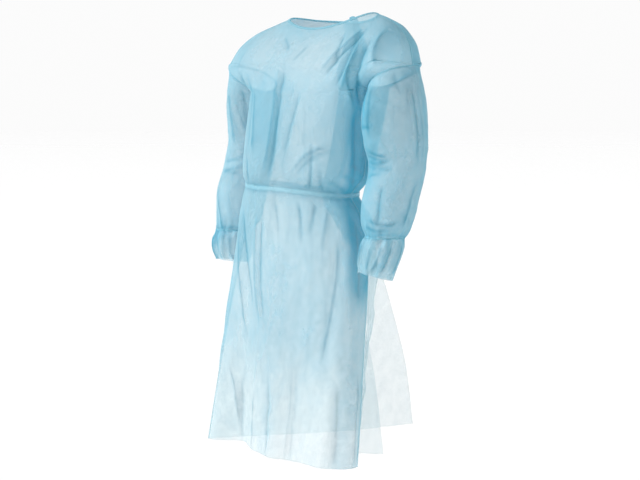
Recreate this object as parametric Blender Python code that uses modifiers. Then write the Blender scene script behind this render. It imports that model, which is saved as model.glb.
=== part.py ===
"""Isolation gown in thin nonwoven cloth, in the hollow form that it has when it is worn.

The wearer faces -Y, so +X is the wearer's left, and +Z is up.  The origin is between the neck
points, where the shoulders hold the gown up.  Every piece is an open surface worked out from named
sizes, and a Solidify modifier gives it its wall.
"""

import math

import bmesh
import bpy
import numpy as np

MM = 0.001

# ---- cloth and seams, millimetres
WALL = 1.0
SEAM_GAP = 0.6
ARMPIT_EASE = 2.6      # and this much more where three pieces meet,
ARMPIT_SPREAD = 1.3    # fading out over this many rows

# ---- armhole: the loop where a sleeve meets the body
ARMHOLE_DEEP = 78.0    # half its size from front to back
ARMHOLE_ARCH = 3.0     # its front and back stand this much above the line from top to armpit
ARMHOLE_SLANT = 1.15   # how straight the body's rows run into it (1 straight, 2 round)
ARM_TOP_RISE = 14.0    # the body's rows rise this much over the top of the arm

# ---- neck binding, belt and ties, millimetres
STRAP_WALL = 1.4
STRAP_GAP = 0.9
BINDING_WIDTH = 9.0
BELT_WIDTH = 13.0
TIE_WIDTH = 11.0
STRAP_STEP = 14.0      # the belt comes down from the lap over this length
KNOT_LONG = 26.0
KNOT_HIGH = 20.0
KNOT_DEEP = 11.0
KNOT_LIFT = 1.9        # it bridges the hollow of the waist
KNOT_SQUARE = 0.6      # the power of its cosines: 1 is an ellipsoid, less is squarer
KNOT_SIDES = 12
KNOT_RINGS = 7

# The free ends below their knots, on the grid that goes round the body: the knot's level and column
# (from the right back panel's free edge, or back from the left one's when it is negative), how many
# columns the end wanders to the side, and its size.
TIES = (
    ("belt_end_a", "belt", -5.6, 0.5, 150.0, BELT_WIDTH),
    ("belt_end_b", "belt", -5.6, -0.7, 128.0, BELT_WIDTH),
    ("neck_end_a", "neckline", 0.9, 0.4, 90.0, TIE_WIDTH),
    ("neck_end_b", "neckline", 0.9, -0.3, 82.0, TIE_WIDTH),
)

# The body from the neckline down to the hem.  right and left are the side seams' places, mid is the
# line down the centre, front and back are how far that line stands out; z is height, full is the
# ring's squareness on each side, and rows is how many rows of faces lead to the next level.
LEVEL_COLUMNS = ("name right_x right_y right_z left_x left_y left_z mid_x"
                 " front_y front_z back_y back_z full_right full_left rows")
LEVELS = (
    ("neckline", -120, 25, -12, 122, 25, -2, 0, -60, -40, 98, -24, 2.1, 2.1, 1),
    ("yoke", -165, 14, -30, 166, 16, -16, 0, -81, -64, 114, -50, 2.1, 2.1, 1),
    ("shoulder", -212, 4, -50, 212, 4, -38, 0, -100, -90, 120, -80, 2.2, 2.2, 1),
    ("cap", -258, -2, -88, 250, -12, -78, -4, -117, -118, 122, -112, 2.3, 2.3, 2),
    ("seam_top", -286, -5, -137, 273, -30, -132, -10, -131, -150, 118, -144, 2.4, 2.3, 8),
    ("armpit", -188, -5, -200, 164, -26, -186, -16, -151, -212, 110, -210, 3.0, 3.0, 2),
    ("chest", -189, -22, -292, 146, -34, -292, -24, -168, -300, 98, -298, 3.0, 2.8, 2),
    ("blouse", -192, -42, -392, 142, -46, -398, -38, -175, -394, 82, -402, 2.9, 2.4, 1),
    ("belt", -196, -50, -436, 104, -48, -458, -46, -166, -440, 68, -456, 2.3, 2.2, 1),
    ("flank", -208, -50, -480, 130, -48, -505, -48, -168, -485, 76, -500, 2.3, 2.3, 3),
    ("hip", -246, -52, -640, 158, -52, -650, -50, -164, -640, 88, -652, 2.2, 2.5, 3),
    ("thigh", -286, -56, -808, 160, -70, -815, -52, -158, -810, 90, -820, 1.8, 2.8, 3),
    ("knee", -318, -60, -970, 160, -84, -975, -52, -152, -975, 92, -985, 1.3, 3.0, 3),
    ("hem", -350, -61, -1131, 158, -98, -1132, -51, -146, -1130, 95, -1146, 1.05, 3.0, 0),
)
SHOULDER_ROWS = 5      # rows of the table from the neckline to the top of the sleeve seam

# How far each back panel reaches past the centre back above the belt, as a part of the half width.
BACK_REACH = 0.16
LAP = 4.5              # the right back panel lies this far outside the left one
LAP_START = 0.35       # the part of its width where it starts to stand out
LAP_RISE = 0.3
TURN_PART = 8 / 11     # the part of a back panel's columns where it turns towards its free edge
MID_ON_RING = 0.8      # its mid point and its turn leave the ring this far towards the side
TURN_ON_RING = 0.2
DROP_SHARES = (0.0, 0.35, 0.7, 1.0)  # how much of the free edge's height the four points take on

# The back panels below the belt: the plan of a point near the side, of the turn and of the free edge.
BACK_COLUMNS = "level mid_x mid_y turn_x turn_y edge_x edge_y edge_z"
BACK_LEFT = (
    ("hip", 112, 52, 72, 76, 40, 84, -650),
    ("thigh", 118, 8, 84, 56, 78, 66, -815),
    ("knee", 116, -16, 80, 40, 112, 60, -980),
    ("hem", 112, -30, 77, 30, 129, 66, -1134),
)
BACK_RIGHT = (
    ("hip", -190, 40, -60, 100, 51, 146, -640),
    ("thigh", -192, 32, -50, 106, 80, 190, -794),
    ("knee", -196, 24, -42, 110, 99, 225, -944),
    ("hem", -202, 12, -32, 110, 106, 248, -1090),
)

# Large folds, in millimetres on the spread cloth: x from the centre line towards the wearer's left,
# y down the centre line from the neckline.  Each runs from 0 to 1 with a rounded section this wide,
# and stands out this high (sinks in when it is negative) at its start and at its end.
FOLD_COLUMNS = "name x0 y0 x1 y1 bend width high0 high1"
FRONT_FOLDS = (
    ("right_trough", -118, 520, -190, 1120, 0, 70, -4, -48),
    ("centre_ridge", -8, 760, 4, 1120, 0, 34, 0, 10),
    ("left_ridge", 150, 640, 168, 1120, 0, 56, 2, 24),
)

# A sleeve below the armhole: the middle of each ring, its half sizes across and front to back, how
# much its outer side stands above its middle, and how much its front does.
TUBE_COLUMNS = "name x y z across deep rise pitch rows"
SLEEVE_LEFT = (
    ("biceps", 243, -66, -243, 73, 96, 12, 2, 2),
    ("upper_arm", 245, -62, -317, 75, 86, 6, 2, 2),
    ("elbow", 243, -50, -380, 67, 76, 3, 4, 2),
    ("forearm", 234, -72, -465, 66, 73, 2, 6, 2),
    ("wrist", 230, -80, -525, 58, 64, 1, 4, 1),
    ("elastic", 227, -82, -551, 46, 50, 0, 0, 0),
)
SLEEVE_RIGHT = (
    ("biceps", -261, 24, -251, 57, 84, 14, 2, 2),
    ("upper_arm", -262, 24, -325, 55, 80, 6, 2, 2),
    ("elbow", -272, 20, -400, 62, 72, 3, 6, 2),
    ("forearm", -285, 6, -475, 64, 70, 2, 10, 2),
    ("wrist", -290, -4, -540, 56, 58, 1, 6, 1),
    ("elastic", -297, -8, -566, 46, 50, 0, 0, 0),
)
CUFF_LEFT = (
    ("elastic", 227, -82, -551, 46, 50, 0, 0, 1),
    ("swell", 223, -88, -580, 50, 54, -1, 0, 1),
    ("band", 219, -96, -612, 47, 50, -3, 2, 1),
    ("end", 212, -102, -648, 40, 42, -7, 8, 0),
)
CUFF_RIGHT = (
    ("elastic", -297, -8, -566, 46, 50, 0, 0, 1),
    ("swell", -300, -12, -592, 50, 53, 1, 0, 1),
    ("band", -301, -14, -622, 50, 50, 2, 2, 1),
    ("end", -300, -16, -650, 44, 42, 2, 4, 0),
)
SLEEVE_TOP_ROWS = 3
FRONT_COLUMNS = 20
BACK_PANEL_COLUMNS = 12
CUFF_SIDES = 24
CUFF_GATHERS = 8
CUFF_GATHER_DEPTH = 2.2
SEAM_HOLD = 30.0       # how far from a side seam the folds are held back
FINE = 121             # points in a row before it is cut into equal steps
SHARPEST = 0.94        # no seam is treated as sharper than this cosine
CUFF_EASE = 0.5        # the sleeve and the cuff each stand back this far at the elastic
END_LIFT = 1.6         # the free ends lie looser than the belt
END_GAP = 2.4          # below the knot
END_APART = 6.8        # half the distance between the two ends at their knot
KNOT_WAIST = 0.25      # how much the knot narrows towards the straps
CLOTH_ROUGHNESS = 0.8
CLOTH_COLOUR = (0.42, 0.66, 0.78, 1.0)
STRAP_COLOUR = (0.33, 0.60, 0.75, 1.0)


def columns_of(names, rows):
    """The table's columns by name: text as a list, numbers as an array."""
    found = {}
    for index, name in enumerate(names.split()):
        column = [row[index] for row in rows]
        found[name] = column if isinstance(column[0], str) else np.array(column, float)
    return found


def smooth(at, knots, values):
    """Cubic Hermite curve through the knots, with harmonic-mean slopes, so that it never overshoots."""
    knots = np.asarray(knots, float)
    values = np.asarray(values, float)
    run = np.diff(knots)
    rise = np.diff(values) / run
    slope = np.zeros_like(values)
    both = rise[:-1] * rise[1:]
    mean = 2.0 * both / np.where(both > 0, rise[:-1] + rise[1:], 1.0)
    slope[1:-1] = np.where(both > 0, mean, 0.0)
    slope[0] = rise[0]
    slope[-1] = rise[-1]
    at = np.clip(at, knots[0], knots[-1])
    span = np.clip(np.searchsorted(knots, at, side="right") - 1, 0, len(run) - 1)
    t = (at - knots[span]) / run[span]
    low = (1 + 2 * t) * (1 - t) ** 2 * values[span] + t * (1 - t) ** 2 * run[span] * slope[span]
    high = t * t * (3 - 2 * t) * values[span + 1] - t * t * (1 - t) * run[span] * slope[span + 1]
    return low + high


LEVEL = columns_of(LEVEL_COLUMNS, LEVELS)
LEVEL_AT = {name: float(index) for index, name in enumerate(LEVEL["name"])}
LEVEL_KNOTS = np.arange(len(LEVELS), dtype=float)
FIRST_ARMHOLE_ROW = int(LEVEL["rows"][:SHOULDER_ROWS - 1].sum())
ARMHOLE_ROWS = int(LEVEL["rows"][SHOULDER_ROWS - 1])


def row_steps(counts):
    """Real-valued places down a table: each span of the table is cut into its own count of rows."""
    steps = [np.arange(rows) / rows + index for index, rows in enumerate(counts) if rows]
    return np.concatenate(steps + [[float(len(counts) - 1)]])


def side_line(side, face, at):
    """The panel's side: shoulder seam, half of the armhole loop, then side seam.

    The loop is middle + half * cos(turn) + depth * sin(turn) + arch * sin(turn)^2, turning from the
    seam's top to the armpit in front (face -1) or behind (face +1)."""
    hand = "left" if side > 0 else "right"
    line = []
    first = LEVEL_KNOTS[:SHOULDER_ROWS]
    rest = LEVEL_KNOTS[SHOULDER_ROWS:]
    turn = np.clip(at - first[-1], 0.0, 1.0) * math.pi
    out = {"x": 0.0, "y": face * ARMHOLE_DEEP * np.sin(turn), "z": ARMHOLE_ARCH * np.sin(turn) ** 2}
    for axis in "xyz":
        values = LEVEL[f"{hand}_{axis}"]
        shoulder = smooth(at, first, values[:SHOULDER_ROWS])
        seam = smooth(at, rest, values[SHOULDER_ROWS:])
        top = values[SHOULDER_ROWS - 1]
        pit = values[SHOULDER_ROWS]
        loop = (top + pit) / 2 + (top - pit) / 2 * np.cos(turn) + out[axis]
        line.append(np.where(at <= first[-1], shoulder, np.where(at < rest[0], loop, seam)))
    return np.stack(line, -1)


def centre_line(face, at):
    """The line down the centre front or the centre back."""
    hand = "front" if face < 0 else "back"
    values = [LEVEL["mid_x"], LEVEL[f"{hand}_y"], LEVEL[f"{hand}_z"]]
    return np.stack([smooth(at, LEVEL_KNOTS, value) for value in values], -1)


def armhole_part(at):
    """1 halfway round the armhole, 0 at its ends and on the other rows."""
    return np.sin(np.clip(at - (SHOULDER_ROWS - 1), 0.0, 1.0) * math.pi)


def arm_top_part(at):
    """1 at the top of the armhole, fading out up the shoulder and round the loop to the armpit."""
    top = SHOULDER_ROWS - 1
    above = np.clip((at - top) / 2 + 1, 0.0, 1.0)
    round_it = (1 + np.cos(np.clip(at - top, 0.0, 1.0) * math.pi)) / 2
    return above * above * (3 - 2 * above) * round_it


def ring(face, at, across):
    """A row of the body from side to side: across runs from -1, the right side, to 1, the left.

    x goes straight from the centre to the side; y follows (1 - |across|^full)^(1 / ease), where
    ease falls to nearly 1 at the armhole, so that the row leaves it at a slant; z is a parabola, and
    it rises over the top of the arm."""
    size = np.abs(across)
    full = np.where(across > 0, smooth(at, LEVEL_KNOTS, LEVEL["full_left"])[:, None],
                    smooth(at, LEVEL_KNOTS, LEVEL["full_right"])[:, None])
    ease = full + (ARMHOLE_SLANT - full) * armhole_part(at)[:, None]
    bulge = np.clip(1 - size ** full, 0.0, 1.0) ** (1 / ease)
    centre = centre_line(face, at)[:, None, :]
    left = side_line(1, face, at)[:, None, :]
    right = side_line(-1, face, at)[:, None, :]
    side = np.where(across[..., None] > 0, left, right)
    x = centre[..., 0] + (side[..., 0] - centre[..., 0]) * size
    y = side[..., 1] + (centre[..., 1] - side[..., 1]) * bulge
    z = side[..., 2] + (centre[..., 2] - side[..., 2]) * (1 - size ** 2)
    z = z + ARM_TOP_RISE * arm_top_part(at)[:, None] * np.sin(math.pi * size ** 3)
    return np.stack([x, y, z], -1)


def run_along(rows):
    """How far along its row each point is, in millimetres."""
    step = np.linalg.norm(np.diff(rows, axis=1), axis=2)
    return np.concatenate([np.zeros((len(rows), 1)), np.cumsum(step, axis=1)], axis=1)


def evenly(rows, count):
    """Each row's points moved along it, so that they are equally far apart."""
    run = run_along(rows)
    run = run / run[:, -1:]
    wanted = np.linspace(0.0, 1.0, count)
    return np.stack([
        np.stack([np.interp(wanted, run[i], rows[i, :, axis]) for axis in range(3)], -1)
        for i in range(len(rows))])


def through(points, count, knot, part):
    """A smooth row through a few points: each axis is a cubic on the distance between them.  The
    knot of that number comes at this part of the row's count, so that a fold there keeps its column."""
    run = run_along(points)
    run = run / run[:, -1:]
    even = np.linspace(0.0, 1.0, count)
    rows = []
    for i in range(len(points)):
        wanted = np.interp(even, [0.0, part, 1.0], [0.0, run[i, knot], 1.0])
        rows.append(np.stack([smooth(wanted, run[i], points[i, :, axis]) for axis in range(3)], -1))
    return np.stack(rows)


def normals(grid, facing):
    """Unit normals of a grid of points, from its central differences."""
    down = np.gradient(grid, axis=0)
    along = np.gradient(grid, axis=1)
    out = np.cross(along, down) * facing
    return out / np.linalg.norm(out, axis=-1, keepdims=True)


def folded(grid, facing, middle, folds):
    """The grid with its folds: each point moves out along its normal by the sum of the folds'
    high * exp(-(distance / width)^2), where distance is measured on the spread cloth.  Near a side
    seam, which holds the cloth, the sum fades out."""
    x = run_along(grid)
    x = x - x[:, middle:middle + 1]
    y = run_along(grid[None, :, middle])[0][:, None]
    table = columns_of(FOLD_COLUMNS, folds)
    out = np.zeros_like(x)
    for i in range(len(folds)):
        dx = table["x1"][i] - table["x0"][i]
        dy = table["y1"][i] - table["y0"][i]
        long = math.hypot(dx, dy)
        t = ((x - table["x0"][i]) * dx + (y - table["y0"][i]) * dy) / long ** 2
        aside = ((x - table["x0"][i]) * dy - (y - table["y0"][i]) * dx) / long
        t_in = np.clip(t, 0.0, 1.0)
        aside = aside - table["bend"][i] * 4 * t_in * (1 - t_in)
        beyond = (t - t_in) * long
        high = table["high0"][i] + (table["high1"][i] - table["high0"][i]) * t_in
        out = out + high * np.exp(-(aside ** 2 + beyond ** 2) / table["width"][i] ** 2)
    from_side = np.minimum(x - x[:, :1], x[:, -1:] - x)
    out = out * (1 - np.exp(-(from_side / SEAM_HOLD) ** 2))
    return grid + normals(grid, facing) * out[..., None]


def front_grid(count):
    """The front panel: rows down from the neckline, columns from the right side to the left."""
    at = row_steps(LEVEL["rows"].astype(int))
    across = np.sin(np.linspace(-1.0, 1.0, 2 * FINE + 1) * math.pi / 2)
    grid = evenly(ring(-1, at, np.broadcast_to(across, (len(at), len(across)))), count)
    return folded(grid, -1, count // 2, FRONT_FOLDS)


def back_grid(side, count):
    """A back panel: the ring as far as its free edge, and below the belt a row that leaves the ring
    through its mid point and its turn to the free edge, faded in from the belt to the hip."""
    at = row_steps(LEVEL["rows"].astype(int))
    reach = -BACK_REACH * side
    across = np.sin(np.linspace(math.pi / 2, math.asin(-BACK_REACH), FINE)) * side
    on_ring = evenly(ring(1, at, np.broadcast_to(across, (len(at), FINE))), count)
    table = columns_of(BACK_COLUMNS, BACK_LEFT if side > 0 else BACK_RIGHT)
    belt = LEVEL_AT["belt"]
    knots = np.array([belt] + [LEVEL_AT[name] for name in table["level"]])
    starts = np.array([[side * MID_ON_RING, side * TURN_ON_RING, reach]])
    at_belt = ring(1, np.array([belt]), starts)[0]
    points = [side_line(side, 1, at)]
    for place, start in zip(("mid", "turn", "edge"), at_belt):
        x = smooth(at, knots, np.append(start[0], table[f"{place}_x"]))
        y = smooth(at, knots, np.append(start[1], table[f"{place}_y"]))
        points.append(np.stack([x, y, np.zeros_like(x)], -1))
    edge_z = smooth(at, knots, np.append(at_belt[2, 2], table["edge_z"]))
    points = np.stack(points, 1)
    drop = (edge_z - points[:, 0, 2])[:, None] * np.array(DROP_SHARES)
    points[..., 2] = points[:, :1, 2] + drop
    free = through(points, count, 2, TURN_PART)
    fade = np.clip((at - belt) / (LEVEL_AT["hip"] - belt), 0.0, 1.0)
    fade = (fade * fade * (3 - 2 * fade))[:, None, None]
    grid = on_ring + (free - on_ring) * fade
    if side < 0:
        lap = np.clip((np.linspace(0.0, 1.0, count) - LAP_START) / LAP_RISE, 0.0, 1.0)
        grid = grid + normals(grid, -side) * (lap * LAP)[None, :, None]
    return grid


def tube(side, table, top, sides, gathers=0, gather_depth=0.0):
    """A sleeve or cuff: each ring is middle + across * cos(turn) + deep * sin(turn), where the turn
    starts at the outer side and goes by the front; rise and pitch tip the ring."""
    table = columns_of(TUBE_COLUMNS, table)
    counts = list(table["rows"].astype(int))
    columns = {name: table[name] for name in ("x", "y", "z", "across", "deep", "rise", "pitch")}
    if top:
        counts = [SLEEVE_TOP_ROWS] + counts
        columns = {name: np.append(top[name], column) for name, column in columns.items()}
    at = row_steps(counts)
    knots = np.arange(len(counts), dtype=float)
    value = {name: smooth(at, knots, column)[:, None] for name, column in columns.items()}
    turn = np.linspace(0.0, 2 * math.pi, sides + 1)[None, :-1]
    swell = 1 + gather_depth / value["across"] * np.cos(gathers * turn)
    x = value["x"] + side * value["across"] * swell * np.cos(turn)
    y = value["y"] - value["deep"] * swell * np.sin(turn)
    z = value["z"] + value["rise"] * np.cos(turn) + value["pitch"] * np.sin(turn)
    if top:
        z = z + ARMHOLE_ARCH * np.clip(1 - at, 0.0, 1.0)[:, None] ** 2 * np.sin(turn) ** 2
    return np.stack([x, y, z], -1)


def armhole_top(side):
    """The first ring of a sleeve: the armhole loop as a middle and half sizes."""
    hand = "left" if side > 0 else "right"
    top = [LEVEL[f"{hand}_{axis}"][SHOULDER_ROWS - 1] for axis in "xyz"]
    pit = [LEVEL[f"{hand}_{axis}"][SHOULDER_ROWS] for axis in "xyz"]
    middle = [(a + b) / 2 for a, b in zip(top, pit)]
    return {"x": middle[0], "y": middle[1], "z": middle[2], "across": abs(top[0] - pit[0]) / 2,
            "deep": ARMHOLE_DEEP, "rise": (top[2] - pit[2]) / 2, "pitch": 0.0}


def sleeve_grid(side):
    rows = SLEEVE_LEFT if side > 0 else SLEEVE_RIGHT
    return tube(side, rows, armhole_top(side), 2 * ARMHOLE_ROWS)


def cuff_grid(side):
    rows = CUFF_LEFT if side > 0 else CUFF_RIGHT
    return tube(side, rows, None, CUFF_SIDES, CUFF_GATHERS, CUFF_GATHER_DEPTH)


def unit(way):
    return way / np.maximum(np.linalg.norm(way, axis=-1, keepdims=True), 1e-9)


def drawn_in(rim, inner, other, ease):
    """The rim's points moved in towards the next ones; other is the way into the piece it meets.

    Square to the seam, each wall stands back half the gap, and as far again as half a wall needs at
    the angle between the two pieces."""
    seam = unit(np.gradient(rim, axis=0))
    way = unit(inner - rim)
    square = unit(way - seam * (way * seam).sum(-1, keepdims=True))
    other = unit(other - seam * (other * seam).sum(-1, keepdims=True))
    half = np.arccos(np.clip((square * other).sum(-1), -1.0, SHARPEST)) / 2
    back = SEAM_GAP / 2 / np.sin(half) + WALL / 2 / np.tan(half) + ease
    return rim + square * back[..., None]


def body_and_sleeves():
    """The five large pieces with the gaps at their seams."""
    front = front_grid(FRONT_COLUMNS)
    backs = {side: back_grid(side, BACK_PANEL_COLUMNS) for side in (1, -1)}
    sleeves = {side: sleeve_grid(side) for side in (1, -1)}
    new_front = front.copy()
    new_backs = {side: grid.copy() for side, grid in backs.items()}
    new_sleeves = {side: grid.copy() for side, grid in sleeves.items()}
    pit_row = FIRST_ARMHOLE_ROW + ARMHOLE_ROWS
    from_pit = (np.arange(len(front)) - pit_row) / ARMPIT_SPREAD
    round_pit = (np.arange(-1, 2 * ARMHOLE_ROWS + 1) - ARMHOLE_ROWS) / ARMPIT_SPREAD
    ease = ARMPIT_EASE * np.exp(-from_pit ** 2)
    ring_ease = ARMPIT_EASE * np.exp(-round_pit ** 2)
    for side in (1, -1):
        edge, inner = (-1, -2) if side > 0 else (0, 1)
        into_front = front[:, inner] - front[:, edge]
        into_back = backs[side][:, 1] - backs[side][:, 0]
        into_sleeve = sleeves[side][1] - sleeves[side][0]
        by_front = into_back.copy()
        by_back = into_front.copy()
        hole = slice(FIRST_ARMHOLE_ROW, FIRST_ARMHOLE_ROW + ARMHOLE_ROWS + 1)
        turns = np.arange(ARMHOLE_ROWS + 1)
        by_front[hole] = into_sleeve[turns]
        by_back[hole] = into_sleeve[-turns]
        new_front[:, edge] = drawn_in(front[:, edge], front[:, inner], by_front, ease)
        new_backs[side][:, 0] = drawn_in(backs[side][:, 0], backs[side][:, 1], by_back, ease)
        body = np.concatenate([into_front[hole], into_back[hole][1:-1][::-1]])
        around = [np.concatenate([ring_of[-1:], ring_of, ring_of[:1]])
                  for ring_of in (sleeves[side][0], sleeves[side][1], body)]
        new_sleeves[side][0] = drawn_in(*around, ring_ease)[1:-1]
    return new_front, new_backs, new_sleeves


def on_grid(grid, facing, rows, columns):
    """Points and normals of a grid at fractional rows and columns, by straight interpolation."""
    out = normals(grid, facing)
    r = np.clip(np.floor(rows).astype(int), 0, grid.shape[0] - 2)
    c = np.clip(np.floor(columns).astype(int), 0, grid.shape[1] - 2)
    u = (rows - r)[..., None]
    v = (columns - c)[..., None]
    found = []
    for field in (grid, out):
        upper = field[r, c] * (1 - v) + field[r, c + 1] * v
        lower = field[r + 1, c] * (1 - v) + field[r + 1, c + 1] * v
        found.append(upper * (1 - u) + lower * u)
    return found[0], unit(found[1])


def material_of(name, colour):
    material = bpy.data.materials.new(name)
    material.use_nodes = True
    shader = material.node_tree.nodes["Principled BSDF"]
    shader.inputs["Base Color"].default_value = colour
    shader.inputs["Roughness"].default_value = CLOTH_ROUGHNESS
    return material


def solid(name, grid, closed, wall, colour, collection):
    """A piece: the grid's faces as an open surface, and a Solidify modifier for its wall."""
    rows, columns = grid.shape[:2]
    index = np.arange(rows * columns).reshape(rows, columns)
    if closed:
        index = np.concatenate([index, index[:, :1]], axis=1)
    corners = [index[:-1, :-1], index[1:, :-1], index[1:, 1:], index[:-1, 1:]]
    faces = np.stack(corners, -1).reshape(-1, 4)
    mesh = bpy.data.meshes.new(name)
    mesh.from_pydata((grid.reshape(-1, 3) * MM).tolist(), [], faces.tolist())
    mesh.update()
    piece = bpy.data.objects.new(name, mesh)
    collection.objects.link(piece)
    solidify = piece.modifiers.new("wall", "SOLIDIFY")
    solidify.thickness = wall * MM
    solidify.offset = 0.0
    solidify.use_even_offset = True
    mesh.materials.append(material_of(name, colour))
    return piece


def body_wrap():
    """All the way round the body on one grid: right back, front, left back."""
    right = back_grid(-1, BACK_PANEL_COLUMNS)[:, :0:-1]
    left = back_grid(1, BACK_PANEL_COLUMNS)[:, 1:]
    return np.concatenate([right, front_grid(FRONT_COLUMNS), left], axis=1)


def strap(wrap, rows, columns, lift):
    """A strap's middle surface: the body's points at these rows and columns, moved out."""
    points, out = on_grid(wrap, -1, rows, columns)
    return points + out * lift


def spacing(wrap, row, column):
    """The size of the grid's cell there: from row to row, and from column to column."""
    r, c = int(row), int(column)
    down = np.linalg.norm(wrap[r + 1, c] - wrap[r, c])
    along = np.linalg.norm(wrap[r, c + 1] - wrap[r, c])
    return down, along


def belt_grid(wrap, row, knot_column):
    """From the knot up over the lap, round the right side, the front and the left side to the knot."""
    last = wrap.shape[1] - 1
    left_back = np.arange(last, last + 1 - BACK_PANEL_COLUMNS, -1)
    clear = (KNOT_LONG / 2 + 2 * SEAM_GAP) / spacing(wrap, row, knot_column)[1]
    landing = np.interp(wrap[row, 0, 0] + STRAP_STEP, wrap[row, left_back, 0], left_back)
    start = knot_column + clear
    end = knot_column - clear
    columns = np.concatenate([[start], np.arange(math.ceil(start), landing), [landing],
                              np.arange(math.ceil(end)), [end]])
    above = BELT_WIDTH / 2 / np.linalg.norm(wrap[row] - wrap[row - 1], axis=-1)
    below = BELT_WIDTH / 2 / np.linalg.norm(wrap[row + 1] - wrap[row], axis=-1)
    whole = np.arange(last + 1.0)
    rows = np.stack([row - np.interp(columns, whole, above), np.full_like(columns, row),
                     row + np.interp(columns, whole, below)])
    columns = np.broadcast_to(columns, rows.shape)
    return strap(wrap, rows, columns, WALL / 2 + STRAP_GAP + STRAP_WALL / 2)


def binding_grid(wrap, knot_column):
    """The neck binding: from the neck knot round to the left back panel's free edge."""
    first = knot_column + (KNOT_LONG / 2 + SEAM_GAP) / spacing(wrap, 0, knot_column)[1]
    columns = np.append(first, np.arange(math.ceil(first), wrap.shape[1]))
    down = BINDING_WIDTH / np.linalg.norm(wrap[1] - wrap[0], axis=-1)
    bottom = np.interp(columns, np.arange(wrap.shape[1]), down)
    rows = np.stack([np.zeros_like(bottom), bottom])
    columns = np.broadcast_to(columns, rows.shape)
    return strap(wrap, rows, columns, WALL / 2 + STRAP_GAP + STRAP_WALL / 2)


def knot_grid(wrap, row, column):
    """A flat ball on the body, squared in its outline: sign(cos) * |cos|^power for each cosine."""
    place, out = on_grid(wrap, -1, np.array([float(row)]), np.array([column]))
    ahead, _ = on_grid(wrap, -1, np.array([float(row)]), np.array([column + 1.0]))
    along = unit(ahead - place)[0]
    out = unit(out[0] - along * (out[0] @ along))
    up = np.cross(out, along)
    up = up * np.sign(up[2])
    middle = place[0] + out * (WALL / 2 + KNOT_LIFT + KNOT_DEEP / 2)
    tilt = np.linspace(-math.pi / 2, math.pi / 2, KNOT_RINGS + 2)[1:-1, None]
    turn = np.linspace(0.0, 2 * math.pi, KNOT_SIDES + 1)[None, :-1]

    def squared(value):
        return np.sign(value) * np.abs(value) ** KNOT_SQUARE

    waist = 1 - KNOT_WAIST * np.cos(tilt) * np.cos(turn) ** 2
    x = np.cos(tilt) * squared(np.cos(turn)) * KNOT_LONG / 2
    y = np.cos(tilt) * squared(np.sin(turn)) * KNOT_HIGH / 2 * waist
    z = np.sin(tilt) * KNOT_DEEP / 2 * np.ones_like(turn)
    return middle + x[..., None] * along + y[..., None] * up + z[..., None] * out


def end_grid(wrap, row, column, wander, length, width):
    """A free end: it leaves the knot's lower side and lies down along the body's columns."""
    down, along = spacing(wrap, row, column)
    path_y = run_along(wrap[:, int(column)][None])[0]
    first = path_y[row] + KNOT_HIGH / 2 + END_GAP
    top, bottom = np.interp([first, first + length], path_y, np.arange(len(path_y)))
    rows = np.concatenate([[top], np.arange(math.ceil(top), bottom), [bottom]])
    share = (rows - top) / (bottom - top)
    middle = column + math.copysign(END_APART / along, wander) + wander * share ** 2
    half = width / 2 / along
    columns = np.stack([middle - half, middle + half], -1)
    rows = np.stack([rows, rows], -1)
    return strap(wrap, rows, columns, WALL / 2 + END_LIFT + STRAP_WALL / 2)


def closed_ball(name, grid, colour, collection):
    """The knot's rings with a fan of faces at each end."""
    rows, columns = grid.shape[:2]
    index = np.arange(rows * columns).reshape(rows, columns)
    index = np.concatenate([index, index[:, :1]], axis=1)
    corners = [index[:-1, :-1], index[:-1, 1:], index[1:, 1:], index[1:, :-1]]
    faces = np.stack(corners, -1).reshape(-1, 4).tolist()
    faces.append(index[0, -2::-1].tolist())
    faces.append(index[-1, :-1].tolist())
    mesh = bpy.data.meshes.new(name)
    mesh.from_pydata((grid.reshape(-1, 3) * MM).tolist(), [], faces)
    mesh.update()
    form = bmesh.new()
    form.from_mesh(mesh)
    bmesh.ops.recalc_face_normals(form, faces=form.faces)
    form.to_mesh(mesh)
    form.free()
    piece = bpy.data.objects.new(name, mesh)
    collection.objects.link(piece)
    mesh.materials.append(material_of(name, colour))
    return piece


def main():
    for old in list(bpy.data.objects):
        bpy.data.objects.remove(old, do_unlink=True)
    collection = bpy.data.collections.new("isolation_gown")
    bpy.context.scene.collection.children.link(collection)
    front, backs, sleeves = body_and_sleeves()
    solid("front_panel", front, False, WALL, CLOTH_COLOUR, collection)
    for side, hand in ((1, "left"), (-1, "right")):
        cuff = cuff_grid(side)
        sleeve = sleeves[side]
        sleeve[-1] += unit(sleeve[-2] - sleeve[-1]) * CUFF_EASE
        cuff[0] += unit(cuff[1] - cuff[0]) * CUFF_EASE
        solid(f"back_panel_{hand}", backs[side], False, WALL, CLOTH_COLOUR, collection)
        solid(f"sleeve_{hand}", sleeve, True, WALL, CLOTH_COLOUR, collection)
        solid(f"cuff_{hand}", cuff, True, WALL, CLOTH_COLOUR, collection)
    wrap = body_wrap()
    knots = {}
    for name, level, column, wander, length, width in TIES:
        row = int(LEVEL["rows"][:int(LEVEL_AT[level])].sum())
        column = column % (wrap.shape[1] - 1)
        knots[level] = (row, column)
        grid = end_grid(wrap, row, column, wander, length, width)
        solid(name, grid, False, STRAP_WALL, STRAP_COLOUR, collection)
    for level, (row, column) in knots.items():
        name = {"belt": "belt_knot", "neckline": "neck_knot"}[level]
        closed_ball(name, knot_grid(wrap, row, column), STRAP_COLOUR, collection)
    belt = belt_grid(wrap, *knots["belt"])
    solid("waist_belt", belt, False, STRAP_WALL, STRAP_COLOUR, collection)
    binding = binding_grid(wrap, knots["neckline"][1])
    solid("neck_binding", binding, False, STRAP_WALL, STRAP_COLOUR, collection)


if __name__ == "__main__":
    main()
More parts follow.
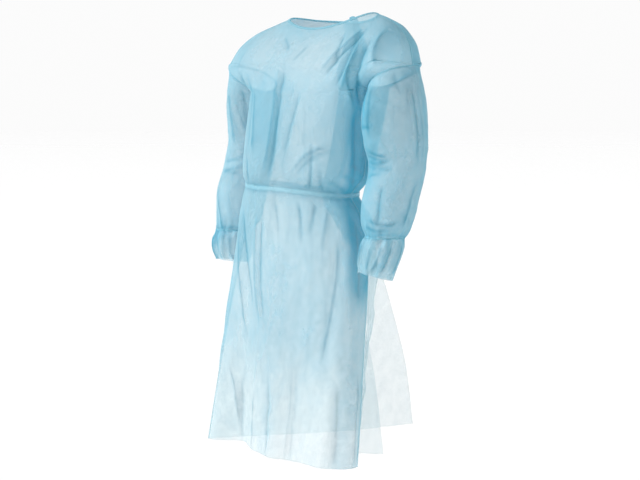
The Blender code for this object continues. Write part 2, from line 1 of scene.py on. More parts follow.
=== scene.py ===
"""Looks of an isolation gown: thin light-blue nonwoven cloth, in the hollow form it has when worn.

Lengths in the tables are millimetres.  The wearer faces -Y, +X is the wearer's left and +Z is up.
Each panel is a grid of points worked out from the gown's named levels, then creased along its
normals, and it stands for the frame's node of the same place.  Where a table has an entry for each
side, 1 is the wearer's left and -1 the right.
"""
import math

import bpy
import numpy as np
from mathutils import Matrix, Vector


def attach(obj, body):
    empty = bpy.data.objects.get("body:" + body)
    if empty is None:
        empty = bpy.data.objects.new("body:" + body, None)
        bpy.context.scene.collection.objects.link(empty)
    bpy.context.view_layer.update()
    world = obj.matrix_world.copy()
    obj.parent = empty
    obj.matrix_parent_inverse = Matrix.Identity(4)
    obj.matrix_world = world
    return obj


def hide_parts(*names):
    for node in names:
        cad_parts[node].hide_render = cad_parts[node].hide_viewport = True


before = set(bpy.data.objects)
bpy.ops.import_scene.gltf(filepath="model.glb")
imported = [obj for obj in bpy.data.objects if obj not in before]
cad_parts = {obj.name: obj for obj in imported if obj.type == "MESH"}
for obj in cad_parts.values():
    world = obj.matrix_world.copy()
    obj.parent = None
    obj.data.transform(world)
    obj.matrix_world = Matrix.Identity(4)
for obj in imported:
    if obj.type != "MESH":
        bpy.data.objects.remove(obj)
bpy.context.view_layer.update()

MM = 0.001
SIDES = ((1, "left"), (-1, "right"))

# ---- sizes that the frame's panels are built with, millimetres
ARMHOLE_DEEP = 78.0    # half the armhole's size from front to back
ARMHOLE_ARCH = 3.0     # its front and back stand this much above the line from top to armpit
ARMHOLE_SLANT = 1.15   # how straight the body's rows run into it (1 straight, 2 round)
ARM_TOP_RISE = 14.0    # the body's rows rise this much over the top of the arm
BELT_WIDTH = 13.0
TIE_WIDTH = 11.0
KNOT_LONG = 26.0
KNOT_HIGH = 20.0
KNOT_DEEP = 11.0
KNOT_LIFT = 1.9        # it bridges the hollow of the waist
KNOT_SQUARE = 0.6      # the power of its cosines: 1 is an ellipsoid, less is squarer
STRAP_STEP = 14.0      # the belt comes down from the lap over this length
END_GAP = 2.4          # an end's length is counted from this far below its knot
END_APART = 6.8        # half the distance between the two ends at their knot

# ---- sizes of the finish, millimetres.  A table of waves says how many waves there are from one
# end of a strip to the other, how high they are, and their phase.
DETAIL = 8             # each row and column of the frame's panels is cut into this many
CLOTH_THICK = 0.4
STRAP_THICK = 0.8
BINDING_THICK = 0.4
SEAM_WIDTH = 5.5
SEAM_LIFTS = (0.5, 0.75, 0.5)    # how far a seam's two edges and its middle stand out
ELASTIC_WIDTH = 6.0
ELASTIC_LIFTS = (0.3, 1.3, 1.3, 0.3)
ELASTIC_RIPPLES = ((23, 0.45, 0.3), (37, 0.35, 1.9), (61, 0.2, 4.0))
ELASTIC_SLIP = 0.35    # ripples push it along the sleeve by this part of their height,
ELASTIC_LAG = 3        # this many points further round
BELT_LIFTS = (1.35, 1.85, 2.1, 1.85, 1.35)
BELT_WANDER = ((3, 0.7, 0.8), (7, 0.5, 2.2), (16, 0.3, 0.4))
BELT_PINCH = (9, 0.12, 0.6)      # waves that narrow it by this part of its width
LAP_STEPS = 40         # steps of the belt from its knot to where it is down from the lap
KNOT_TO_STRAP = 2.3    # a strap starts at the knot's length over this from the knot's middle
BINDING_SECTION = (    # down the inside, over the edge and down the outside: how deep, how far out
    (5.0, -0.7), (2.0, -0.9), (0.0, -0.9), (-0.9, 0.0), (0.0, 0.9), (3.5, 1.1), (7.0, 0.7),
)
BINDING_PUCKERS = ((47, 0.25, 0.0), (81, 0.2, 1.0))
PUCKER_BELOW = 1       # only the parts of the binding that lie deeper than this are puckered
KNOT_RINGS = 33
KNOT_SIDES = 64
KNOT_BAND = (0.34, 0.10)         # the band across its middle: half its width, and its height
KNOT_GROOVE = (0.46, 0.09, 0.20)     # the grooves beside it: place, half width, depth
KNOT_PLEATS = (3.2, 0.9, 0.05)   # half waves of its pleats, up it and along it, and their height
KNOT_TAPER = 0.16      # it narrows by this at its tips,
KNOT_THIN = 0.25       # and gets thinner by this
POLE_WELD = 0.01       # a solid piece's poles are joined within this
END_PROFILE = (-0.25, 0.25, 0.45, 0.25, -0.25)
END_STEPS = 49
END_START = 0.3        # an end starts this part of the knot's height below the knot's middle,
END_TUCK = 0.2         # so that this part of the height, inside the knot, adds to its length
END_PARTING = (4, 0.3)     # how fast a knot's two ends part, and how far they have at the start
END_SWAY = (0.10, 1.3)     # part of its wander that it sways, and how many waves
END_PINCH = 0.62       # its width where it leaves the knot, as a part of the whole,
END_OPENS = 5          # from where it opens in 1 / 5 of its length
END_TWIST = (2.4, 1.1)     # how far its edges twist, and how many waves
END_LIFT = 2.4
END_BOW = 1.6          # it stands out this much more halfway down,
END_CURL = 1.2         # and its foot curls out this much
END_PHASE = 0.31       # each end sways and twists this part of a wave after the one before,
KNOT_PHASE = 1.7       # and a knot's pleats lie this much further round, in radians
CREASE_FADE = 0.22     # a crease takes this part of its length to come and to go
CREASE_FLANK = 0.32    # its flanks sink this part of its height,
CREASE_SPREAD = 2.3    # and are this many times as wide as it is
CREASE_RELIEF = 1.25   # how much higher the creases are than their table says, to show in veil
CREASE_FULL = 4.2      # a crease of this height is marked fully
MARK_NARROW = 0.65     # a crease's mark is narrower than the crease,
MARK_WIDEST = 9.0      # and weaker where the crease is wider than this
MARK_CORE = 3.4        # half the width of the line along a crease,
MARK_CRISP = 1.5       # the power in its section,
MARK_SOFT = 0.42       # and the part of the mark that is the soft band instead
GATHER_REACH = 12.0    # the gathers beside the belt are this wide,
GATHER_MARK = 0.55     # and marked this much, bluer and with painted shade
CREASE_HOLD = 20.0     # creases fade out this close to a sewn side,
NECK_HOLD = 22.0       # this close to the neckline,
SEAM_CALM = 9.0        # this close to the armhole seam,
ELASTIC_HOLD = 5.0     # and this close to the elastic
ELASTIC_PART = 0.55    # the part of the gathers that is left in the elastic itself
ROUND_FADE = 0.3       # the power of the sine that takes gathers away at the underarm seam
CRUMPLE_SLANT = 0.35   # crumples run aslant
FACET_STEP = 0.3       # how far one facet of a crumple lies above another,
FACET_TILT = 0.8       # and how much it slants
FACET_FAR = 9.0        # higher than the lowest facet ever is
FOLD_NARROW = 0.10     # how narrow the line of a crumple's fold is
SLEEVE_CRUMPLED = 0.55
CUFF_CRUMPLED = 0.6
FRONT_CRUMPLED = (980, 640)      # fully crumpled below the first of these, least above the second
BACK_CRUMPLED = (900, 520)
FRONT_SEED = 100
BACK_SEEDS = {1: 200, -1: 300}
SLEEVE_SEEDS = {1: 450, -1: 350}
CUFF_SEEDS = {1: 550, -1: 450}

# ---- the cloth's look.  POINTS_PER_M is in radians, and the other scales are lumps a metre.
POINTS_PER_M = 2 * math.pi / 0.0042   # so that its pressed points are 3 mm apart
POINTS_EDGE = (0.45, 0.8)    # a point's edge runs between these heights of the two crossed waves
POINTS_CLEAR = 0.10    # a pressed point is this much clearer than the web,
POINTS_SMOOTH = 0.16   # and this much smoother
CLOUDS_PER_M = 42.0
FIBRES_PER_M = 520.0
WOBBLES_PER_M = 30.0
CRINKLES_PER_M = 44.0
WOBBLE = (0.03, 0.03, 0.0)   # how far, in metres, the crinkles' folds wobble
NOISE_SPAN = (0.3, 0.7)      # nearly all of a noise lies between these
CLOUD_TONE = 0.06      # how much bluer or paler the clouds make the cloth,
FIBRE_TONE = 0.05      # and the fibres
SLANT_BLEND = 0.32     # how soon the cloth counts as slantwise,
SLANT_CLOSES = 0.75    # and how far it closes then
PAINTED_GLOW = 0.13            # painted glow: emission standing in for light from behind, keeping shadows blue
CRINKLE_DEEP = 0.009   # reliefs in metres
CLOUD_RELIEF = 2.5
BUMP_STRENGTH = 0.5
BUMP_DEEP = 0.0005
WEB_ROUGHNESS = 0.5
VEIL_COLOURS = ("D4E5E9", "17A4C6")     # where there is little cloth, and where there is much
SEWN_COLOURS = ("B4E1EE", "48AFCD")
VEIL_COVER = (0.16, 0.56)    # how much of what is behind it the cloth hides, in the same places
SEWN_COVER = (0.30, 0.62)
# the colours of the painted shade, the thread, the painted glow and the sheen
PAINTED_SHADE_COLOUR = "4B8096"
THREAD_COLOUR = "9FD3E6"
PAINTED_GLOW_COLOUR = "00A0AC"
SHEEN_COLOUR = "BCE6F5"
PAINTED_SHADE_STRENGTH = 0.8     # how much greyer the painted shade makes the cloth,
BACK_PAINTED_SHADE = 0.6      # which counts this much on the back
STITCH_IN = 1.3        # stitches run this far inside an edge, in millimetres;
STITCH_HALF = 0.0004   # half their width, and half their length with a gap, in metres,
STITCH_LONG = 0.0025
STITCH_GAP = 0.25      # of which the gap is this part
STITCH_RELIEF = 2.0
STITCH_NONE = 9.0      # millimetres from a stitch on a piece that has none

# ---- how blue the pieces are, from 0 to 1; what adds up to more or less is cut off there.  A span
# is where a change starts, in millimetres on the spread cloth, and over how long it happens.
FRONT_TONE = 0.50
FRONT_PALER = (0.31, (780, 240))        # the lower skirt
# The near side, away from the light, is bluer: partly painted shade, partly more cloth in the way.
NEAR_BLUER_AND_SHADE = 0.68                       # the side towards the wearer's left, between its
NEAR_SPANS = ((150, 60), (150, 90), (600, 160))    # inner edge, its top and its foot
LOW_NEAR_BLUER = 0.25                   # the same side's foot
LOW_NEAR_SPAN = (160, 50)
LOW_SPAN = (760, 200)                   # the lower skirt, where creases mark the cloth less
LOW_MARKS = 0.6                         # by this part
BACK_TONE = 0.54
BACK_PALER = (0.46, (440, 280))
BACK_MARKS = 0.5                        # part of crease tone and painted fold highlight on the back
SLEEVE_TONE = {1: 0.54, -1: 0.48}
CUFF_TONE = 0.36
ARM_TOP_BLUER = (0.10, 20)              # by a sleeve's top, dying out over this length,
ARM_END_BLUER = (0.14, 26)              # and by its elastic
MARK_TONE = 0.42       # creases hold more cloth and are painted bluer, partly as painted shade
# the crumples' folds hold more cloth and are painted bluer, partly as painted shade
CRUMPLE_TONE = 0.10
CRUMPLE_HIGHLIGHT = 0.16    # in the lower skirt the folds get a painted highlight instead
BELT_TONE = 0.04
END_TONE = 0.8
KNOT_TONE = 0.85
BINDING_TONE = 0.3
SEAM_TONE = 0.45
SIDE_SEAM_TONE = (0.8, 0.7, 0.3, 0.08)  # from the armpit down to the hem

# Soft patches on the spread cloth: x, y, half across, half down, how much bluer.
# Some are painted light and shade: paler where light falls on the chest's top and far shoulder,
# bluer in the near shoulder's shade.
FRONT_PATCHES = (
    (20, 90, 100, 70, -0.28), (66, 235, 50, 90, -0.10), (92, 332, 50, 60, -0.10),
    (144, 194, 24, 70, 0.10), (245, 80, 60, 60, 0.08), (-151, 75, 60, 60, -0.24),
    (-50, 380, 60, 70, -0.16), (-40, 510, 70, 70, -0.12), (170, 479, 30, 60, 0.12),
    (-154, 729, 60, 160, -0.14), (-95, 260, 26, 150, 0.06), (204, 998, 30, 120, 0.08),
    (-27, 1030, 34, 110, 0.16), (-237, 1033, 40, 80, 0.08), (213, 700, 40, 90, 0.10),
    (40, 300, 24, 90, -0.12), (-132, 340, 44, 110, -0.12), (-132, 480, 44, 100, -0.10),
    (-16, 480, 70, 90, -0.10),
)
BACK_PATCHES = {
    1: ((10, 330, 60, 220, 0.45), (10, 560, 40, 90, 0.35)),
    -1: ((10, 330, 50, 180, 0.10),),
}
# The left sleeve's front band lies double, so it is bluer, and its outer side is paler.
SLEEVE_PATCHES = {
    1: ((50, 40, 60, 50, -0.14), (176, 80, 26, 90, 0.30), (150, 270, 44, 60, 0.10),
        (70, 100, 40, 110, -0.10), (20, 200, 40, 160, -0.04), (-24, 160, 14, 150, 0.16)),
    -1: ((0, 150, 40, 130, -0.12), (40, 340, 40, 60, -0.10), (-70, 200, 24, 160, 0.14)),
}
CUFF_PATCHES = {
    1: ((84, 50, 22, 60, -0.06), (40, 50, 12, 60, 0.30), (-10, 50, 30, 70, 0.22)),
    -1: ((20, 20, 60, 30, 0.30), (40, 60, 12, 60, 0.18)),
}
# The same for the painted shade, how much greyer the cloth is painted, under doubled cloth and
# low in the skirt.  Less than nothing takes away the creases' painted shade there.
FRONT_PAINTED_SHADES = (
    (225, 85, 40, 60, 0.75), (150, 60, 40, 40, 0.16), (210, 660, 50, 160, 0.05),
    (214, 310, 36, 150, -0.4), (0, 860, 190, 320, 0.34),
)
SLEEVE_PAINTED_SHADES = {
    1: ((40, 40, 60, 50, 0.62), (60, 150, 60, 80, 0.25), (-30, 330, 40, 120, 0.2)),
    -1: (),
}

# ---- the cut: flat width and length in metres, and flat area in square metres
FRONT_CUT = ((0.72, 1.20), 0.62)
BACK_CUT = {"left": ((0.42, 1.20), 0.285), "right": ((0.56, 1.20), 0.42)}
SLEEVE_CUT = {"left": ((0.57, 0.46), 0.205), "right": ((0.46, 0.45), 0.18)}
CUFF_CUT = {"left": ((0.35, 0.11), 0.033), "right": ((0.345, 0.092), 0.028)}
BELT_LONG = 0.86

# ---- stage, metres and degrees
FLOOR_Z = -1.5
FLOOR_REACH = 60.0
FLOOR_FADE = (6.0, 30.0)   # between these distances the floor fades away
FLOOR_GLOW = 0.17
WHITE_BAND = 0.10      # the surround is white up to this height,
WHITE_FADE = 0.3       # gets dimmer over this much more,
WHITE_STRENGTH = 0.97
SKY_STRENGTH = 0.42    # and is this strong above
KEY_STRENGTH = 2.6
KEY_SOFTNESS = 30.0
KEY_WAY = (0.58, 0.74, -0.60)
CAMERA_TURN = 35.0
CAMERA_FAR = 4.4
CAMERA_HIGH = -0.12
CAMERA_LENS = 97.0
CAMERA_DOWN = 5.96
CAMERA_YAW = 0.27
LIGHT_STEPS = 32       # a ray passes up to ten layers of cloth, and each has two faces

# The body from the neckline down to the hem.  right and left are the side seams' places, mid is the
# line down the centre, front and back are how far that line stands out; z is height, full is the
# ring's squareness on each side, and rows is how many rows of faces lead to the next level.
LEVEL_COLUMNS = ("name right_x right_y right_z left_x left_y left_z mid_x"
                 " front_y front_z back_y back_z full_right full_left rows")
LEVELS = (
    ("neckline", -120, 25, -12, 122, 25, -2, 0, -60, -40, 98, -24, 2.1, 2.1, 1),
    ("yoke", -165, 14, -30, 166, 16, -16, 0, -81, -64, 114, -50, 2.1, 2.1, 1),
    ("shoulder", -212, 4, -50, 212, 4, -38, 0, -100, -90, 120, -80, 2.2, 2.2, 1),
    ("cap", -258, -2, -88, 250, -12, -78, -4, -117, -118, 122, -112, 2.3, 2.3, 2),
    ("seam_top", -286, -5, -137, 273, -30, -132, -10, -131, -150, 118, -144, 2.4, 2.3, 8),
    ("armpit", -188, -5, -200, 164, -26, -186, -16, -151, -212, 110, -210, 3.0, 3.0, 2),
    ("chest", -189, -22, -292, 146, -34, -292, -24, -168, -300, 98, -298, 3.0, 2.8, 2),
    ("blouse", -192, -42, -392, 142, -46, -398, -38, -175, -394, 82, -402, 2.9, 2.4, 1),
    ("belt", -196, -50, -436, 104, -48, -458, -46, -166, -440, 68, -456, 2.3, 2.2, 1),
    ("flank", -208, -50, -480, 130, -48, -505, -48, -168, -485, 76, -500, 2.3, 2.3, 3),
    ("hip", -246, -52, -640, 158, -52, -650, -50, -164, -640, 88, -652, 2.2, 2.5, 3),
    ("thigh", -286, -56, -808, 160, -70, -815, -52, -158, -810, 90, -820, 1.8, 2.8, 3),
    ("knee", -318, -60, -970, 160, -84, -975, -52, -152, -975, 92, -985, 1.3, 3.0, 3),
    ("hem", -350, -61, -1131, 158, -98, -1132, -51, -146, -1130, 95, -1146, 1.05, 3.0, 0),
)
SHOULDER_ROWS = 5      # rows of the table from the neckline to the top of the sleeve seam

# How far each back panel reaches past the centre back above the belt, as a part of the half width.
BACK_REACH = 0.16
LAP = 4.5              # the right back panel lies this far outside the left one
LAP_START = 0.35       # the part of its width where it starts to stand out
LAP_RISE = 0.3
TURN_PART = 8 / 11     # the part of a back panel's columns where it turns towards its free edge
TURN_KNOT = 2          # the turn's number among the points of a row below the belt
MID_ON_RING = 0.8      # its mid point and its turn leave the ring this far towards the side
TURN_ON_RING = 0.2
DROP_SHARES = (0.0, 0.35, 0.7, 1.0)  # how much of the free edge's height the four points take on

# The back panels below the belt: the plan of a point near the side, of the turn and of the free
# edge, and how high the free edge lies.
BACK_COLUMNS = "level mid_x mid_y turn_x turn_y edge_x edge_y edge_z"
BACK_LEFT = (
    ("hip", 112, 52, 72, 76, 40, 84, -650),
    ("thigh", 118, 8, 84, 56, 78, 66, -815),
    ("knee", 116, -16, 80, 40, 112, 60, -980),
    ("hem", 112, -30, 77, 30, 129, 66, -1134),
)
BACK_RIGHT = (
    ("hip", -190, 40, -60, 100, 51, 146, -640),
    ("thigh", -192, 32, -50, 106, 80, 190, -794),
    ("knee", -196, 24, -42, 110, 99, 225, -944),
    ("hem", -202, 12, -32, 110, 106, 248, -1090),
)

# Large folds, in millimetres on the spread cloth: x from the centre line towards the wearer's left,
# y down the centre line from the neckline.  Each runs from 0 to 1 with a rounded section this wide,
# and stands out this high (sinks in when it is negative) at its start and at its end.
FOLD_COLUMNS = "name x0 y0 x1 y1 bend width high0 high1"
FRONT_FOLDS = (
    ("right_trough", -118, 520, -190, 1120, 0, 70, -4, -48),
    ("centre_ridge", -8, 760, 4, 1120, 0, 34, 0, 10),
    ("left_ridge", 150, 640, 168, 1120, 0, 56, 2, 24),
)

# A sleeve below the armhole: the middle of each ring, its half sizes across and front to back, how
# much its outer side stands above its middle, and how much its front does.
TUBE_COLUMNS = "name x y z across deep rise pitch rows"
SLEEVE_LEFT = (
    ("biceps", 243, -66, -243, 73, 96, 12, 2, 2),
    ("upper_arm", 245, -62, -317, 75, 86, 6, 2, 2),
    ("elbow", 243, -50, -380, 67, 76, 3, 4, 2),
    ("forearm", 234, -72, -465, 66, 73, 2, 6, 2),
    ("wrist", 230, -80, -525, 58, 64, 1, 4, 1),
    ("elastic", 227, -82, -551, 46, 50, 0, 0, 0),
)
SLEEVE_RIGHT = (
    ("biceps", -261, 24, -251, 57, 84, 14, 2, 2),
    ("upper_arm", -262, 24, -325, 55, 80, 6, 2, 2),
    ("elbow", -272, 20, -400, 62, 72, 3, 6, 2),
    ("forearm", -285, 6, -475, 64, 70, 2, 10, 2),
    ("wrist", -290, -4, -540, 56, 58, 1, 6, 1),
    ("elastic", -297, -8, -566, 46, 50, 0, 0, 0),
)
CUFF_LEFT = (
    ("elastic", 227, -82, -551, 46, 50, 0, 0, 1),
    ("swell", 223, -88, -580, 50, 54, -1, 0, 1),
    ("band", 219, -96, -612, 47, 50, -3, 2, 1),
    ("end", 212, -102, -648, 40, 42, -7, 8, 0),
)
CUFF_RIGHT = (
    ("elastic", -297, -8, -566, 46, 50, 0, 0, 1),
    ("swell", -300, -12, -592, 50, 53, 1, 0, 1),
    ("band", -301, -14, -622, 50, 50, 2, 2, 1),
    ("end", -300, -16, -650, 44, 42, 2, 4, 0),
)
SLEEVE_TOP_ROWS = 3
FRONT_COLUMNS = 20
BACK_PANEL_COLUMNS = 12
CUFF_GATHERS = 8
CUFF_GATHER_DEPTH = 2.2
SEAM_HOLD = 30.0       # how far from a side seam the folds are held back
FINE = 121             # points in half a row before it is cut into equal steps

# The free ends below their knots: the knot's level and its column on the frame's grid round the
# body (negative counts back from the left back panel's free edge), how many columns the end
# wanders, its length and its width.
TIES = (
    ("belt_end_a", "belt", -5.6, 0.5, 150.0, BELT_WIDTH),
    ("belt_end_b", "belt", -5.6, -0.7, 128.0, BELT_WIDTH),
    ("neck_end_a", "neckline", 0.9, 0.4, 90.0, TIE_WIDTH),
    ("neck_end_b", "neckline", 0.9, -0.3, 82.0, TIE_WIDTH),
)

# Creases, in millimetres on the spread cloth.  On the front, x runs from the centre line to the
# wearer's left and y down the centre line from the neckline.  On a back panel, x runs from the side
# seam to the free edge and y down the free edge.  On a sleeve, x runs from the outer side to the
# front, and y down from the armhole.  bend bows a crease to its left, crisp is the power in its
# section (2 is round, 1 comes to a line), and a negative height is a trough.
CREASE_COLUMNS = "name x0 y0 x1 y1 bend width high0 high1 crisp"
FRONT_CREASES = (
    ("long_chest_line", -57, 96, -46, 425, 24, 9, -2.5, -3.5, 1.5),
    ("long_chest_ridge", -72, 110, -62, 420, 24, 12, 1.5, 3.0, 1.8),
    ("second_chest_line", 22, 175, 0, 350, 6, 8, -2.0, -2.0, 1.6),
    ("cross_up", 28, 388, 130, 322, 16, 6, 2.0, 3.5, 1.4),
    ("cross_up_trough", 40, 398, 140, 334, 16, 8, -1.5, -2.5, 1.7),
    ("belly_line", 80, 305, 82, 440, 0, 6, -1.5, -4.0, 1.4),
    ("belly_side", 104, 372, 118, 440, -4, 8, -1.5, -3.0, 1.6),
    ("shoulder_line_a", 156, 40, 82, 148, -10, 9, -4.0, -4.0, 1.6),
    ("shoulder_ridge_a", 141, 38, 62, 140, -10, 9, 3.0, 2.0, 1.8),
    ("shoulder_line_b", 88, 34, 104, 128, -6, 7, -3.0, -3.0, 1.6),
    ("shoulder_line_c", 128, 36, 122, 190, 4, 10, -3.5, -4.0, 1.7),
    ("shoulder_ridge_c", 142, 60, 138, 200, 4, 9, 3.5, 3.0, 1.8),
    ("armpit_deep", 176, 62, 208, 240, -20, 12, -7.0, -15.0, 1.6),
    ("armpit_ridge", 152, 80, 182, 250, -16, 11, 4.0, 5.0, 1.8),
    ("armpit_puff", 204, 60, 226, 150, -14, 14, 5.0, 8.0, 2.0),
    ("collar_line", -34, 104, -6, 56, 0, 5, -2.0, -2.5, 1.3),
    ("collar_line_far", -96, 40, -60, 78, 4, 7, -1.5, -2.0, 1.5),
    ("far_side_trough", -172, 140, -128, 370, 14, 20, -3.5, -2.8, 2.0),
    ("far_side_ridge", -142, 170, -100, 350, 12, 16, 3.0, 3.5, 2.0),
    ("far_armpit", -196, 150, -176, 260, -6, 12, -6.0, -4.0, 1.7),
    ("far_belly_line", -128, 350, -118, 440, 4, 9, -2.0, -4.0, 1.6),
    ("near_side_trough", 192, 235, 200, 430, 4, 18, -9.0, -7.0, 1.8),
    ("near_side_ridge", 222, 240, 228, 430, 2, 14, 5.0, 7.0, 1.9),
    ("near_blouse_a", 176, 366, 240, 408, 8, 8, 2.5, 4.5, 1.6),
    ("near_blouse_b", 150, 388, 222, 428, 8, 7, -2.0, -4.0, 1.5),
    ("near_blouse_c", 120, 402, 188, 438, 6, 7, 2.0, 3.0, 1.6),
    ("left_long_low", -52, 470, -40, 810, -30, 13, -3.5, -2.0, 1.7),
    ("left_long_ridge", -74, 480, -62, 800, -30, 14, 3.0, 2.0, 1.9),
    ("far_hip_line", -150, 478, -100, 760, -12, 14, -4.0, -2.5, 1.8),
    ("far_hip_ridge", -176, 500, -140, 860, -8, 18, 3.0, 4.0, 2.0),
    ("pelvis_a", 50, 460, 56, 570, 2, 7, -3.5, -1.0, 1.4),
    ("pelvis_b", 98, 456, 80, 540, -2, 7, -4.0, -1.0, 1.4),
    ("pelvis_c", 130, 458, 112, 590, -4, 9, 3.0, 1.5, 1.6),
    ("pelvis_d", -20, 462, -12, 560, 2, 8, -2.5, -1.0, 1.6),
    ("near_hip_trough", 200, 462, 214, 720, 4, 20, -8.0, -5.0, 1.9),
    ("near_hip_ridge", 230, 470, 240, 700, 2, 15, 6.0, 4.0, 1.9),
    ("near_thigh_line", 150, 520, 128, 900, 10, 22, -5.0, -6.0, 2.0),
    ("centre_fold", 49, 870, 46, 1140, 0, 4, 1.2, 2.8, 1.2),
    ("centre_fold_foot", 62, 900, 60, 1140, 0, 10, -1.5, -3.0, 1.7),
    ("near_hem_trough", 176, 900, 198, 1140, 2, 15, -4.0, -8.0, 1.9),
    ("near_hem_ridge", 226, 880, 238, 1140, 0, 12, 4.0, 7.0, 1.9),
    ("far_hem_a", -232, 900, -206, 1090, 8, 10, 3.0, 4.0, 1.7),
    ("far_hem_b", -184, 930, -196, 1140, -6, 12, -3.5, -5.0, 1.8),
    ("far_hem_c", -262, 820, -300, 1120, 8, 16, 4.0, 7.0, 2.0),
    ("far_hem_d", -96, 960, -108, 1140, 4, 14, 3.0, 4.0, 1.9),
    ("far_hem_e", -30, 900, -22, 1140, -3, 16, -3.0, -4.5, 1.9),
)
BACK_CREASES = {
    1: (
        ("shoulder_blade", 66, 190, 96, 330, 8, 16, 3.0, 4.5, 1.9),
        ("shoulder_trough", 102, 194, 120, 380, 8, 13, -2.5, -4.0, 1.7),
        ("armpit_line", 24, 188, 70, 330, 8, 12, -6.0, -3.0, 1.6),
        ("waist_fan_a", 40, 320, 58, 446, 4, 10, -2.0, -5.0, 1.6),
        ("waist_fan_b", 108, 300, 98, 446, -4, 11, 2.0, 4.5, 1.7),
        ("waist_fan_c", 146, 340, 130, 446, -3, 9, -2.0, -4.5, 1.5),
        ("neck_line", 118, 20, 84, 110, 6, 8, -3.0, -2.5, 1.6),
        ("hip_trough", 70, 470, 64, 720, -6, 15, -6.0, -3.0, 1.8),
        ("hip_ridge", 100, 470, 104, 760, 4, 16, 4.5, 3.0, 1.9),
        ("skirt_line_a", 36, 620, 30, 1120, 6, 16, -3.0, -6.0, 1.9),
        ("skirt_line_b", 128, 700, 120, 1120, -6, 13, 3.0, 5.0, 1.8),
        ("edge_line", 196, 760, 190, 1110, 4, 9, -2.0, -4.0, 1.6),
    ),
    -1: (
        ("shoulder_blade", 72, 190, 104, 340, 8, 16, 3.0, 4.0, 1.9),
        ("shoulder_trough", 108, 194, 130, 360, 8, 14, -2.5, -3.5, 1.7),
        ("armpit_line", 22, 190, 64, 350, 8, 12, -6.0, -3.0, 1.6),
        ("waist_fan_a", 46, 330, 60, 436, 4, 10, -2.0, -5.0, 1.6),
        ("waist_fan_b", 96, 320, 90, 436, -4, 10, 2.0, 4.5, 1.7),
        ("waist_fan_c", 158, 330, 146, 436, -4, 10, -2.0, -4.5, 1.5),
        ("neck_line", 130, 20, 92, 120, 6, 8, -3.0, -2.5, 1.6),
        ("hip_trough", 76, 455, 72, 700, -6, 16, -6.0, -3.5, 1.8),
        ("hip_ridge", 112, 460, 126, 820, 6, 18, 4.5, 4.0, 1.9),
        ("skirt_line_a", 170, 520, 236, 1060, 14, 15, -3.0, -5.0, 1.7),
        ("skirt_line_b", 210, 600, 292, 1080, 12, 16, 3.0, 6.0, 1.9),
        ("edge_line", 262, 560, 372, 1080, 16, 9, -1.5, -3.5, 1.5),
        ("edge_ridge", 238, 560, 338, 1060, 14, 12, 2.0, 3.5, 1.8),
        ("side_line", 60, 640, 66, 1080, 8, 18, -4.0, -6.0, 2.0),
    ),
}
SLEEVE_CREASES = {
    1: (
        ("front_band", 152, 14, 188, 160, 8, 18, -6.0, -5.0, 1.8),
        ("front_puff", 122, 30, 148, 190, 8, 20, 3.0, 5.0, 2.0),
        ("inner_crease", 196, 158, 140, 158, -3, 6, -2.0, -4.0, 1.4),
        ("elbow_a", 178, 224, 84, 252, 8, 7, -1.2, -2.6, 1.5),
        ("elbow_a_ridge", 170, 208, 92, 236, 8, 8, 1.5, 3.5, 1.7),
        ("elbow_b", 176, 258, 72, 270, 6, 7, -1.0, -2.4, 1.5),
        ("elbow_b_ridge", 172, 244, 96, 254, 6, 7, 1.5, 3.0, 1.7),
        ("elbow_c", 168, 296, 104, 282, -4, 6, -1.2, -2.6, 1.5),
        ("outer_line", 26, 50, 20, 262, -4, 8, -3.0, -3.5, 1.5),
        ("outer_ridge", 6, 60, 2, 270, -4, 12, 1.0, 1.5, 1.9),
        ("cap_line", 66, 8, 58, 90, 4, 8, -2.5, -1.5, 1.6),
        ("back_band", -120, 16, -160, 150, -8, 18, -6.0, -4.0, 1.8),
        ("back_puff", -90, 40, -112, 210, -6, 20, 2.0, 2.5, 2.0),
        ("elbow_back_a", -26, 222, -172, 252, -12, 12, 1.2, 2.0, 1.9),
        ("elbow_back_b", -36, 262, -168, 278, -8, 10, -0.9, -1.6, 1.8),
        ("forearm_line", 96, 300, 82, 420, 3, 9, -2.0, -3.5, 1.6),
        ("forearm_outer", 8, 300, 16, 430, 3, 10, 2.5, 3.0, 1.8),
        ("wrist_fold_a", 118, 396, 30, 404, 10, 7, 2.0, 4.0, 1.6),
        ("wrist_fold_b", 128, 414, 44, 424, 8, 6, -2.0, -3.0, 1.5),
        ("wrist_back", -120, 380, -40, 410, -8, 8, 2.5, 3.5, 1.7),
    ),
    -1: (
        ("outer_line", 26, 34, -46, 190, 10, 8, -4.0, -4.5, 1.5),
        ("outer_ridge", 46, 44, -24, 200, 10, 10, 3.0, 3.5, 1.8),
        ("front_band", 128, 14, 150, 170, 8, 16, -5.0, -4.0, 1.8),
        ("front_puff", 92, 40, 108, 220, 6, 18, 3.0, 4.0, 2.0),
        ("elbow_dome", 34, 352, -48, 292, -16, 7, 3.5, 5.0, 1.5),
        ("elbow_fold", 44, 334, -50, 272, -16, 8, -2.2, -3.2, 1.6),
        ("elbow_front_a", 156, 228, 66, 262, 10, 8, -1.2, -2.2, 1.6),
        ("elbow_front_b", 158, 258, 58, 288, 10, 10, 1.3, 2.2, 1.8),
        ("elbow_front_c", 152, 304, 60, 292, -6, 9, -0.8, -1.5, 1.7),
        ("back_band", -110, 16, -136, 160, -8, 16, -5.0, -4.0, 1.8),
        ("back_puff", -84, 50, -96, 230, -6, 18, 3.0, 4.0, 2.0),
        ("elbow_back_a", -24, 236, -142, 264, -12, 12, 1.2, 2.0, 1.9),
        ("elbow_back_b", -32, 280, -140, 294, -8, 10, -0.9, -1.6, 1.8),
        ("forearm_line", 20, 366, 12, 470, 3, 8, -3.0, -2.5, 1.6),
        ("forearm_front", 70, 330, 76, 460, 3, 10, 2.5, 3.0, 1.8),
        ("wrist_fold", 60, 440, -34, 436, 8, 7, 2.5, 3.5, 1.6),
    ),
}
